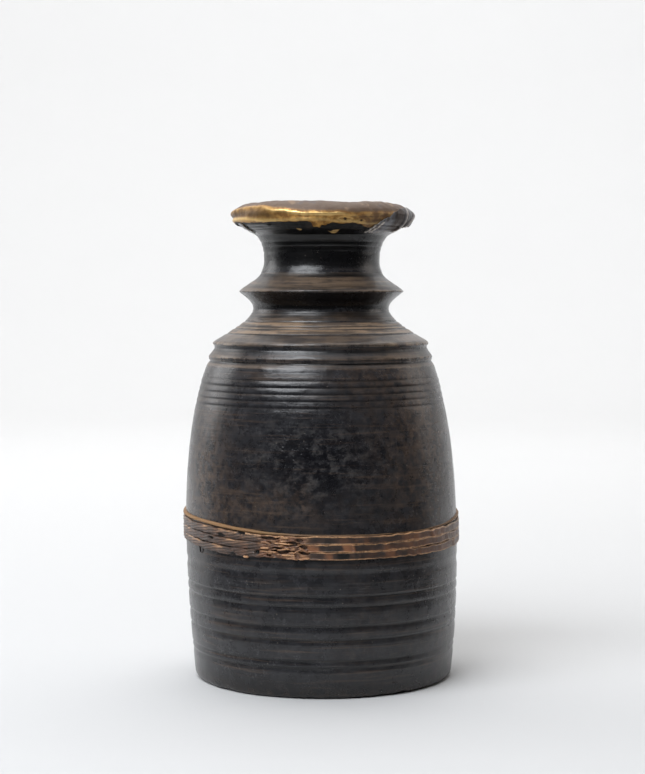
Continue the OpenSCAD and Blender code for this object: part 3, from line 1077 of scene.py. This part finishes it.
class JAR_OT_rim_patch(bpy.types.Operator):
    """Builds the grey patch folded round the right of the lip, with its pleats"""

    bl_idname = "jar.rim_patch"
    bl_label = "Rim patch"

    def execute(self, context):
        rim = context.scene.jar_rim
        angles = np.arange(33, 92.01, 0.4)
        angle, share = np.meshgrid(angles, np.linspace(0, 1, 72), indexing="ij")
        flat = np.zeros((len(angles), 1))
        low = knots(angles, PATCH_LOW)[:, None] + 4 * crumpled(angle[:, :1], flat - 90, 2.5 * MM, 71)
        high = knots(angles, PATCH_TOP)[:, None] + 3 * crumpled(angle[:, :1], flat, 2.5 * MM, 72)
        turn = low + (high - low) * share
        # the left end is cut on a slant and folded back twice
        slant = np.clip((42 - angle) / 8, 0, 1)
        angle = angle + slant * (turn + 100) * 0.06
        lift = 1.55 * MM + 0.22 * MM * crumpled(angle, turn, 6 * MM, 73)
        lift += 0.1 * MM * crumpled(angle, turn, 2 * MM, 74)
        crease = 0.7 * bump(share, 0.0, 0.035) * within(angle, 38, 70, 4) + 0.25 * bump(share, 1.0, 0.02)
        for step in (0.6, 4.4):
            strip = bump(angle - (turn + 100) * 0.06, 33.2 + step, 0.7)
            lift += 0.4 * MM * strip
            crease += 1.0 * strip * (turn < -28)
        dark = within(angle, 51.5, 61, 4) * smooth_step((turn + 84) / 10)
        lift += 0.1 * MM * dark
        sooty = 0.95 * dark
        for course, half_width, stand in PLEATS:
            bent = angle - np.interp(turn, *zip(*course))
            pleat = bump(bent, 0, half_width)
            lift += stand * MM * pleat * (1 - 0.8 * smooth_step((turn - 5) / 30))
            crease += 0.95 * bump(bent, 0.3, half_width * 0.62)
            sooty = np.maximum(sooty, bump(bent, -half_width * 2.2, 2.4) * 0.9)
            sooty = np.maximum(sooty, bump(bent, half_width * 2.4, 2.0) * 0.8)
        points = on_lip(angle, turn, np.maximum(lift, 0.8 * MM))
        values = {"crease": np.clip(crease, 0, 1), "sooty": np.clip(sooty, 0, 1)}
        piece = thicken(grid_mesh("rim_patch_grey", points, values=values), rim.thickness)
        dress(piece, "dark_sheet", grey_sheet(rim), "rim_patch")
        return {"FINISHED"}


# Tacks: angle round the mouth and turn round the lip's section
TACKS = [(14, -20), (25, -28), (112, 6), (146, -4), (182, 4), (218, -6), (252, 3), (268, -2)]
# Half the outline of a tack as (radius, rise) in millimetres: rounded head, then down its shank
TACK_OUTLINE = [(0.05, 0.32), (0.4, 0.3), (0.75, 0.2), (1.0, 0.0), (1.02, -0.3), (0.5, -0.35), (0.45, -3.6)]
TACK_SIDES = 14


class JAR_OT_rim_tacks(bpy.types.Operator):
    """Builds the small hammered tacks that hold the sheets"""

    bl_idname = "jar.rim_tacks"
    bl_label = "Rim tacks"

    def execute(self, context):
        heads = []
        for i, (at, turn) in enumerate(TACKS):
            centre = Vector(on_lip(np.array(float(at)), np.array(float(turn)), 1.1 * MM))
            deep = Vector(on_lip(np.array(float(at)), np.array(float(turn)), -3.0 * MM))
            out = (centre - deep).normalized()
            sideways = out.cross(Vector((0, 0, 1))).normalized()
            up = sideways.cross(out)
            rows = []
            for radius, rise in TACK_OUTLINE:
                spots = []
                for step in range(TACK_SIDES):
                    turn_by = 2 * math.pi * step / TACK_SIDES
                    uneven = 1 + 0.07 * math.sin(3 * turn_by + i) + 0.05 * math.sin(5 * turn_by + 2 * i)
                    aside = sideways * math.cos(turn_by) + up * math.sin(turn_by)
                    spots.append(centre + (aside * radius * uneven + out * rise) * MM)
                rows.append(spots)
            grid = np.array([[list(p) for p in row] for row in rows])
            head = grid_mesh(f"tack_{i}", grid, close_columns=True)
            close_ends(head, len(TACK_OUTLINE), TACK_SIDES)
            heads.append(head)
        dress(joined("rim_tack_heads", heads), "tack_metal", dark_tack(), "rim_tacks")
        return {"FINISHED"}


def close_ends(piece, rows, columns):
    """Closes the first and last ring of a tube made by grid_mesh."""
    mesh = piece.data
    points = np.array([v.co for v in mesh.vertices])
    faces = [list(p.vertices) for p in mesh.polygons]
    faces.append(list(range(columns))[::-1])
    faces.append(list(range((rows - 1) * columns, rows * columns)))
    kept = {}
    for store in mesh.attributes:
        if store.data_type == "FLOAT" and store.domain == "POINT" and not store.is_internal:
            numbers = np.zeros(len(points), np.float32)
            store.data.foreach_get("value", numbers)
            kept[store.name] = numbers
    mesh.clear_geometry()
    mesh.from_pydata(points.tolist(), [], faces)
    store_values(mesh, kept)


# ------------------------------------------------------------------ cane band

BAND_RADIUS = 88 * MM
# The band lies flat at the front and right, and is frayed at the left end of that; elsewhere it is twisted
FLAT_FROM, FLAT_TO = -10.0, 88.0
FRAYED_FROM, FRAYED_TO = -25.0, -6.0
# The crests of a twisted strand: how far apart along it, and how many lie across it
CREST_RUN = 9.5 * MM
CRESTS_ACROSS = 2.4
# How far the band climbs at the left, by angle, in millimetres
BAND_CLIMB = [(-180, 0.0), (-120, 0.8), (-85, 1.1), (-66, 1.1), (-54, 0.7), (-38, 0.0), (180, 0.0)]


def band_height(angle):
    """Height of the middle row of the band at angles round the jar."""
    cane = bpy.context.scene.jar_cane
    low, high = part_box("cane_strand_middle")
    radius = (high.x - low.x) / 2
    a = np.radians(angle)
    tilt = np.cos(a) * math.sin(cane.tilt_front) + np.sin(a) * math.sin(cane.tilt_side)
    return (low.z + high.z) / 2 - radius * tilt + knots(angle, BAND_CLIMB) * MM


def within(angle, low, high, ease):
    """1 between two angles, easing to 0 outside them."""
    return smooth_step((angle - low) / ease + 0.5) * smooth_step((high - angle) / ease + 0.5)


def row_pitch(angle):
    """Distance between rows: tight at the front and right, looser at the left."""
    return (4.6 + 0.5 * within(angle, -62, -32, 20)) * MM


# Joints of the cane: row, angle, half length in degrees, swelling in millimetres, russet share
CANE_JOINTS = [
    (1, -3.4, 2.2, 0.15, 1.1), (1, 10.2, 2.0, 0.25, 0.75), (1, 12.8, 0.7, 0.75, 0.5),
    (1, 26.0, 1.6, 0.8, 0.3), (0, 28.5, 2.6, 0.45, 0.5), (2, 17.5, 2.0, 0.3, 0.3),
    (0, 3.0, 1.6, 0.15, 0.8), (2, 51.0, 1.2, 0.5, 0.2), (0, 71.0, 1.4, 0.5, 0.3),
    (1, 63.0, 1.2, 0.4, 0.2),
]
# Dark holes in the rows: row, angle, place across, half length in degrees, half width and depth as shares
CANE_HOLES = [
    (2, -20.6, 0.1, 3.6, 0.22, 1.3), (2, -8.8, 0.05, 1.5, 0.25, 1.3), (2, -11.4, -0.4, 3.0, 0.16, 1.3),
    (1, -12.0, 0.36, 2.8, 0.16, 1.3), (1, -7.0, 0.1, 1.7, 0.28, 1.2), (0, -15.6, 0.36, 2.6, 0.2, 1.3),
    (0, -6.4, 0.38, 1.8, 0.2, 1.2), (0, -26.0, 0.2, 1.2, 0.25, 1.1), (1, -17.5, -0.15, 3.0, 0.14, 1.2),
    (1, -15.0, -0.42, 2.6, 0.14, 1.2), (0, -21.0, -0.1, 1.0, 0.2, 1.1), (1, -50.0, 0.1, 1.6, 0.2, 0.9),
    (2, -44.0, -0.3, 2.5, 0.25, 0.9), (2, -33.5, 0.35, 2.2, 0.25, 1.0), (0, -38.0, -0.4, 2.0, 0.3, 1.0),
]


# Blocks of smoke on the flat faces: row, first and last angle
SMOKED = [
    (2, 0.0, 6.8), (2, 9.0, 13.0), (2, 15.5, 21.5), (2, 28.0, 33.5), (1, -0.5, 7.4), (1, 13.8, 25.0),
    (0, 4.3, 11.5), (0, 13.0, 25.5), (0, 30.0, 36.0),
]


def strand_surface(level, angles, seed):
    """Height of a strand's face, as a share of its thickness, and where it is rubbed, russet or grimy."""
    across = np.linspace(-0.5, 0.5, 17)
    angle, u = np.meshgrid(angles, across, indexing="ij")
    arc = np.radians(angle) * BAND_RADIUS
    spots = np.stack([arc, 3 * u * MM + level * 0.02, 0 * u], axis=-1).reshape(-1, 3)
    lumps = (soft_noise(spots, size * MM, seed + i) for i, size in enumerate((12, 4, 1.3)))
    slow, quick, tiny = (v.reshape(u.shape) for v in lumps)
    flat = within(angle, FLAT_FROM, FLAT_TO, 16)
    frayed = within(angle, FRAYED_FROM, FRAYED_TO, 6)
    rounding = np.sqrt(np.clip((0.5 - np.abs(u)) / 0.09, 0, 1))
    rims = bump(np.abs(u), 0.42 + 0.03 * slow + 0.03 * quick, 0.062)
    right = within(angle, 30, 100, 24)
    trough = 0.62 - 0.05 * slow
    phase = arc / CREST_RUN + 0.28 * slow + 0.37 * level
    place = (u * 1.15 + 0.5) * CRESTS_ACROSS - phase
    crest = np.exp(-(((place + 0.5) % 1.0 - 0.5) / 0.25) ** 2)
    height_flat = trough + (1.04 - trough) * rims
    height_twisted = 0.66 + 0.12 * np.cos(math.pi * u) + 0.32 * crest
    height = flat * height_flat + (1 - flat) * height_twisted + (0.05 + 0.1 * right) * quick + 0.07 * tiny
    shaggy = soft_noise(spots * (1, 1.6, 1), 2.4 * MM, seed + 5).reshape(u.shape)
    height += frayed * (0.3 * shaggy - 0.12)
    rubbed = flat * rims * (0.95 + 0.15 * right + 0.6 * slow + 0.6 * quick)
    rubbed += (1 - flat) * crest * smooth_step((u + 0.3) / 0.5) * (0.45 + 0.8 * slow + 0.3 * quick) * 0.4
    rubbed += (1 - flat) * bump(u, 0.37, 0.08) * smooth_step((slow + 0.6 * quick) / 0.5) * 0.7
    rubbed += frayed * smooth_step((shaggy - 0.2) / 0.4) * 0.45
    russet = 0.5 * frayed + 0.25 * flat * smooth_step((slow + quick) / 0.8) + 0.32 * right
    grime_and_shade = flat * (1 - rims) * (0.6 + 0.35 * quick) * (1 - 0.6 * right)
    grime_and_shade = np.minimum(grime_and_shade + (1 - flat) * (1 - crest) * 0.6, 0.85)
    for row, first, last in SMOKED:
        if row == level:
            block = within(angle + 2.2 * quick + 1.2 * tiny, first, last, 2.4)
            block *= (1 - rims) * (0.9 + 0.25 * slow)
            grime_and_shade = np.maximum(grime_and_shade, 0.87 * block)
            russet -= 0.4 * block
    for row, at, half, swelling, share in CANE_JOINTS:
        if row == level:
            here = bump(angle + 1.2 * u, at, half)
            height += swelling * MM / bpy.context.scene.jar_cane.thickness * here
            russet += share * here
            grime_and_shade -= share * here
    for row, at, middle, half, half_width, depth in CANE_HOLES:
        if row == level:
            far = ((angle - at) / half) ** 2 + ((u - middle) / half_width) ** 2
            hole = smooth_step(1.35 - far + 0.4 * tiny)
            height -= depth * hole
            grime_and_shade += hole
            rubbed -= hole
    grime_and_shade = np.clip(grime_and_shade, 0, 1) * (1 - 0.5 * frayed * (grime_and_shade < 1))
    # grey at the far sides of the band: partly bleaching, partly a painted reflection of the bright room
    bleach_and_sheen = np.maximum.reduce([
        within(angle, -125, -72, 44) * (0.75 + 0.5 * slow),
        0.8 * within(angle, 62, 130, 50),
        0.12 * within(angle, -120, -28, 10),
    ])
    russet = russet * (1 - 0.6 * bleach_and_sheen)
    values = {"rubbed": rubbed, "russet": russet, "grime_and_shade": grime_and_shade, "bleach_and_sheen": bleach_and_sheen}
    return across, np.maximum(height * rounding, -0.35), values


def strip(name, centres, outward, width, across, height, values, twist=None, closed=False):
    """A strip of cane along a run of points, with its own height across and along it."""
    along = np.gradient(centres, axis=0)
    if closed:
        along[0] = along[-1] = (along[0] + along[-1]) / 2
    along /= np.linalg.norm(along, axis=1)[:, None]
    side = np.cross(outward, along)
    side /= np.linalg.norm(side, axis=1)[:, None]
    out = np.cross(along, side)
    if twist is not None:
        c, s = np.cos(twist)[:, None], np.sin(twist)[:, None]
        side, out = side * c + out * s, out * c - side * s
    rows = len(centres)
    # the face, then three points along the back
    u = np.concatenate([across, [0.42, 0.0, -0.42]])
    rise = np.concatenate([height, np.tile([-0.3 * MM], (rows, 3))], axis=1)
    points = centres[:, None, :] + side[:, None, :] * (u[None, :, None] * width[:, None, None]) \
        + out[:, None, :] * rise[:, :, None]
    run = np.concatenate([[0], np.cumsum(np.linalg.norm(np.diff(centres, axis=0), axis=1))])
    stored = {"across": u[None, :] * width[:, None], "run": run[:, None] * np.ones(rise.shape)}
    for key, share in values.items():
        stored[key] = np.concatenate([np.clip(share, 0, 1), np.zeros((rows, 3))], axis=1)
    if closed:
        points, stored = points[:-1], {k: v[:-1] for k, v in stored.items()}
    piece = grid_mesh(name, points[:, ::-1], closed, True, {k: v[:, ::-1] for k, v in stored.items()})
    if not closed:
        close_ends(piece, rows, len(u))
    return piece


radius_heights = np.arange(60, 125, 0.5) * MM
radius_table = (radius_heights, np.array([section.outside(z) for z in radius_heights]))


def on_belly(angles, height, stand_off):
    """Points on the bowed belly, standing off it."""
    points = around(angles, np.interp(height, *radius_table) + stand_off, height)
    points[..., 0] += bow_at(height, bpy.context.scene.jar_wood.lean)
    return points


def waver(angles, size, seed, height=0.1):
    """Unevenness along the band, from -1 to 1, in waves of about size millimetres."""
    return soft_noise(around(angles, BAND_RADIUS, height), size * MM, seed)


def rounded(across):
    """Height across a strip with a half-round face."""
    return np.sqrt(np.clip(1 - (across / 0.5) ** 2, 0, 1))[None, :]


class JAR_OT_cane_rows(bpy.types.Operator):
    """Lays the three rows of cane round the belly"""

    bl_idname = "jar.cane_rows"
    bl_label = "Cane rows"

    def execute(self, context):
        cane = context.scene.jar_cane
        finish = split_cane("dark_split_cane", cane.dark, cane.russet, cane.worn)
        angles = np.linspace(-180, 180, 941)
        nodes = ("cane_strand_bottom", "cane_strand_middle", "cane_strand_top")
        for level, node in enumerate(nodes):
            seed = 100 + 10 * level
            slow, quick = waver(angles, 12, seed + 6), waver(angles, 3.5, seed + 7)
            frayed = within(angles, FRAYED_FROM, FRAYED_TO, 6)
            height = band_height(angles) + (level - 1) * row_pitch(angles)
            right, left = within(angles, 20, 100, 20), within(angles, -165, -26, 24)
            height += (0.16 * slow + (0.15 + 0.7 * right + 0.25 * left + 0.35 * frayed) * quick) * MM
            uneven = 0.02 * left + 0.04 * slow + 0.04 * quick - 0.12 * frayed * (1 + quick)
            width = cane.width * (1 + uneven)
            across, share, values = strand_surface(level, angles, seed)
            # the two ends of a row meet at the back
            seam = within(angles, -176, 176, 6)[:, None]
            share = share * seam + (1 - seam) * share[0]
            centres = on_belly(angles, height, 0.25 * MM)
            piece = strip(f"cane_row_{level + 1}", centres, around(angles, 1.0, 0.0), width, across,
                          share * cane.thickness, values, closed=True)
            dress(piece, "dark_cane", finish, node)
        return {"FINISHED"}


# How far the hoop stands above the rows, by angle, and how far it is pressed in behind them, in millimetres
HOOP_RISE = [
    (-180, 5.0), (-130, 3.6), (-90, 2.0), (-62, 1.8), (-40, 1.5), (-22, 0.9), (-8, 0.1), (40, 0.2),
    (62, 0.8), (80, 2.4), (100, 3.4), (140, 4.6), (180, 5.0),
]
HOOP_SINK = [
    (-180, 0.0), (-30, 0.0), (-14, 0.9), (0, 1.25), (45, 1.2), (70, 0.8), (84, 0.1), (180, 0.0),
]


class JAR_OT_cane_hoop(bpy.types.Operator):
    """Lays the single golden hoop above the rows"""

    bl_idname = "jar.cane_hoop"
    bl_label = "Cane hoop"

    def execute(self, context):
        cane = context.scene.jar_cane
        # the grime colour here also paints the shade where the hoop sinks behind the rows
        patches, worn, grime = shade(124, 88, 56), shade(200, 160, 108), shade(70, 54, 42)
        finish = split_cane("golden_split_cane", cane.golden, patches, worn, grime, 0.2)
        angles = np.linspace(-180, 180, 721)
        slow, quick = waver(angles, 16, 140), waver(angles, 4, 141)
        courses = (np.pad(knots(angles, pairs), 20, mode="wrap") for pairs in (HOOP_RISE, HOOP_SINK))
        rise, sink = (np.convolve(v, np.ones(41) / 41, mode="valid") for v in courses)
        height = band_height(angles) + row_pitch(angles) + cane.width / 2 + (rise + 0.14 * slow) * MM
        width = (2.2 + 0.3 * slow - 0.3 * sink) * MM
        across = np.linspace(-0.5, 0.5, 9)
        dome = rounded(across) * np.ones((len(angles), 1))
        split = bump(across, 0.08, 0.09)[None, :] * smooth_step(slow * 2)[:, None]
        face = (dome * (1.75 + 0.12 * quick[:, None]) - 0.22 * split - 0.25 * sink[:, None]) * MM
        values = {
            "rubbed": dome * (0.02 + 0.3 * slow[:, None]) * (1 - 0.8 * sink[:, None]),
            "russet": 0.35 + 0.5 * slow[:, None] + 0 * dome,
            # darker where it sinks behind the rows: painted shade; also along its split and at its edges
            "grime_and_shade": np.minimum(0.68 * sink[:, None] + split * 0.4 + 0.1 * (1 - dome), 0.84),
        }
        centres = on_belly(angles, height, (0.1 - sink) * MM)
        outward = around(angles, 1.0, 0.0)
        piece = strip("cane_hoop_golden", centres, outward, width, across, face, values, closed=True)
        dress(piece, "pale_cane", finish, "cane_hoop")
        return {"FINISHED"}


# Splinters and tucked ends over the frayed stretch: first angle, length in degrees, row, slope, stand-off
# and width in millimetres, and how pale
SPLINTERS = [
    (-16.3, 3.8, 2.24, 0.05, 0.9, 0.9, 1.0), (-19.3, 8.2, 1.52, -0.04, 1.0, 1.0, 1.0),
    (-16.0, 4.6, 0.05, 0.05, 0.8, 0.9, 0.9), (-21.5, 4.2, 0.35, -0.2, 0.6, 1.5, 0.5),
    (-25.0, 5.5, 1.5, -0.35, 0.5, 1.4, 0.3), (-11.5, 4.5, 0.62, 0.9, 0.9, 1.0, 0.5),
    (-9.0, 4.2, 0.72, -0.7, 0.7, 1.2, 0.3), (-24.8, 4.2, 0.86, 0.05, 0.7, 1.5, 0.9),
    (-9.2, 5.0, -0.35, 0.2, 0.6, 1.3, 0.6), (-18.0, 6.0, 0.75, 0.15, 0.7, 1.0, 0.6),
    (-32.2, 2.4, -0.44, 0.0, 1.1, 1.6, 1.0), (-14.5, 5.5, -0.4, -0.15, 0.3, 1.2, 0.5),
    (-59.0, 0.5, -0.62, -1.1, 0.1, 0.6, 0.0),
]


class JAR_OT_tucked_ends(bpy.types.Operator):
    """Lays the splinters and tucked ends over the frayed stretch of the band"""

    bl_idname = "jar.tucked_ends"
    bl_label = "Tucked ends"

    def execute(self, context):
        cane = context.scene.jar_cane
        patches, worn = shade(142, 95, 66), shade(222, 172, 124)
        finish = split_cane("rubbed_split_cane", shade(84, 60, 47), patches, worn)
        ends = []
        across = np.linspace(-0.5, 0.5, 7)
        for i, (at, length, row, slope, stand, width, pale) in enumerate(SPLINTERS):
            share = np.linspace(0, 1, 30)
            angles = at + share * length
            wander = waver(angles, 3, 150 + i, 0.01 * i)
            level = row - 1 + slope * (share - 0.5) + 0.08 * wander
            height = band_height(angles) + level * row_pitch(angles)
            sink = (np.abs(share - 0.5) * 2) ** 5
            stand_off = (stand * (1 - sink) - 0.7 * sink + 0.15 * wander) * MM
            centres = on_belly(angles, height, 0.6 * cane.thickness + stand_off)
            tip = np.clip(np.minimum(share, 1 - share) * 6, 0.3, 1)
            dome = rounded(across)
            face = dome * (0.62 * MM * tip)[:, None]
            full = np.ones(face.shape)
            values = {
                "rubbed": dome * pale * (0.9 + 0.4 * wander)[:, None],
                "russet": 0.6 * full,
                "grime_and_shade": (0.15 if pale else 1.0) * full,
            }
            outward, twist = around(angles, 1.0, 0.0), np.radians(12 * wander)
            ends.append(strip(f"end_{i}", centres, outward, width * MM * tip, across, face, values, twist))
        dress(joined("cane_splinters", ends), "dark_cane", finish, "cane_tucked_ends")
        return {"FINISHED"}


# ------------------------------------------------------------------ stage


def area_light(name, place, target, width, height, power, colour=(1, 1, 1)):
    """A soft oval light aimed at a point."""
    data = bpy.data.lights.new(name, "AREA")
    data.shape = "ELLIPSE"
    data.size = width
    data.size_y = height
    data.energy = power
    data.color = colour
    lamp = bpy.data.objects.new(name, data)
    lamp.location = place
    lamp.rotation_euler = (Vector(target) - Vector(place)).to_track_quat("-Z", "Y").to_euler()
    bpy.context.scene.collection.objects.link(lamp)
    return lamp


# The paper sweep, in metres: where the floor starts to bend up, the radius of the bend, and the wall's top
BEND_START, BEND_RADIUS, WALL_TOP = 2.2, 0.9, 3.4
# how far under the foot the paper lies
PAPER_LEVEL = -0.0001


class JAR_OT_stage(bpy.types.Operator):
    """Sets up the camera, the pale floor and backdrop, and the soft lights"""

    bl_idname = "jar.stage"
    bl_label = "Stage"

    def execute(self, context):
        stage = context.scene.jar_stage
        # floor all round, swept up into a wall behind the jar
        wall = BEND_START + BEND_RADIUS
        bend = np.radians(np.arange(10, 91, 10))
        radius = [0.02, 0.25, 0.8, 1.6, BEND_START, *(BEND_START + BEND_RADIUS * np.sin(bend)), wall, wall]
        height = [0, 0, 0, 0, 0, *(BEND_RADIUS - BEND_RADIUS * np.cos(bend)), 2.0, WALL_TOP]
        turn = np.arange(-100, 100.1, 4.0)
        sweep_up = around(np.arange(100, 260.1, 4.0), np.c_[radius], np.c_[height] + PAPER_LEVEL)
        near = around(turn, np.c_[0.02, 0.15, 0.3].T, PAPER_LEVEL)
        far = around(turn, np.c_[0.3, 1.0, BEND_START, wall, 6.0].T, PAPER_LEVEL)
        finish = Recipe("pale_paper")
        colour = finish.mix(finish.noise(3, 2), stage.backdrop, tuple(c * 0.985 for c in stage.backdrop))
        finish.finish(colour, 0.75, None, specular=0.2)
        parts = (("backdrop", sweep_up, True), ("floor_near", near, True), ("floor_far", far, False))
        for name, grid, mirrored in parts:
            piece = grid_mesh(name, grid)
            piece.data.materials.append(finish.material)
            piece.visible_glossy = mirrored
        middle = (0, 0, section.high.z * 0.5)
        key, fill = stage.key_power, stage.fill_power
        area_light("window_left", (-0.79, -1.02, 1.68), middle, 1.7, 1.25, key, (0.93, 0.96, 1.0))
        area_light("fill_right", (1.9, 0.6, 1.0), middle, 1.2, 1.4, 0.4 * fill, (1.0, 0.9, 0.82))
        area_light("back_left", (-1.9, 1.0, 1.0), middle, 1.2, 1.4, fill)
        area_light("top", (0, 0.3, 2.3), (0, 0.1, 0), 1.8, 1.8, stage.top_power)
        area_light("backdrop_wash", (0, 1.2, 2.6), (0, 3.1, 1.2), 3.2, 0.8, stage.wash_power)
        self.pale_world(context)
        data = bpy.data.cameras.new("camera")
        data.lens = stage.lens
        data.sensor_width = 36.0
        camera = bpy.data.objects.new("camera", data)
        camera.location = (stage.aside, -stage.distance, stage.height)
        camera.rotation_euler = (math.pi / 2 - stage.pitch, 0, 0)
        context.scene.collection.objects.link(camera)
        context.scene.camera = camera
        context.scene.view_settings.view_transform = "Standard"
        return {"FINISHED"}

    def pale_world(self, context):
        """Pale to look at; its light comes from behind and above, little of it from the room in front."""
        world = bpy.data.worlds.new("room")
        nodes = Nodes(world)
        seen, light = nodes.add("ShaderNodeBackground"), nodes.add("ShaderNodeBackground")
        lean = nodes.add("ShaderNodeVectorMath", operation="DOT_PRODUCT")
        ramp = nodes.add("ShaderNodeMapRange", interpolation_type="SMOOTHSTEP")
        choose = nodes.add("ShaderNodeMixShader")
        ends = ("From Min", "From Max", "To Min", "To Max")
        for end, number in zip(ends, context.scene.jar_stage.room_light):
            ramp.inputs[end].default_value = number
        for source, target in (
            (nodes.add("ShaderNodeTexCoord").outputs["Generated"], lean.inputs[0]),
            ((0, 0.95, 0.3), lean.inputs[1]),
            (lean.outputs["Value"], ramp.inputs["Value"]),
            ((0.93, 0.93, 0.93, 1), seen.inputs["Color"]),
            ((0.97, 0.98, 1.0, 1), light.inputs["Color"]),
            (ramp.outputs[0], light.inputs["Strength"]),
            (nodes.add("ShaderNodeLightPath").outputs["Is Camera Ray"], choose.inputs[0]),
            (light.outputs[0], choose.inputs[1]),
            (seen.outputs[0], choose.inputs[2]),
            (choose.outputs[0], nodes.add("ShaderNodeOutputWorld").inputs["Surface"]),
        ):
            nodes.link(source, target)
        context.scene.world = world


# ---------------------------------------------------------------------------
# Panel and registration


STEPS = (
    "stage",
    "turned_block",
    "rim_sheets",
    "rim_patch",
    "rim_tacks",
    "cane_rows",
    "cane_hoop",
    "tucked_ends",
)


class JAR_PT_sidebar(bpy.types.Panel):
    """Lists the steps that build the jar"""

    bl_idname = "JAR_PT_sidebar"
    bl_label = "Turned jar"
    bl_space_type = "VIEW_3D"
    bl_region_type = "UI"
    bl_category = "Jar"

    def draw(self, context):
        for step in STEPS:
            self.layout.operator(f"jar.{step}")


SETTINGS = {
    "jar_wood": JarWoodSettings,
    "jar_rim": JarRimSettings,
    "jar_cane": JarCaneSettings,
    "jar_stage": JarStageSettings,
}
CLASSES = (
    *SETTINGS.values(),
    JAR_OT_stage,
    JAR_OT_turned_block,
    JAR_OT_rim_sheets,
    JAR_OT_rim_patch,
    JAR_OT_rim_tacks,
    JAR_OT_cane_rows,
    JAR_OT_cane_hoop,
    JAR_OT_tucked_ends,
    JAR_PT_sidebar,
)


def register():
    for kind in CLASSES:
        bpy.utils.register_class(kind)
    for name, kind in SETTINGS.items():
        setattr(bpy.types.Scene, name, bpy.props.PointerProperty(type=kind))


def unregister():
    for name in SETTINGS:
        delattr(bpy.types.Scene, name)
    for kind in reversed(CLASSES):
        bpy.utils.unregister_class(kind)


def main():
    """Builds every piece in order."""
    register()
    for step in STEPS:
        getattr(bpy.ops.jar, step)()


if __name__ == "__main__":
    main()
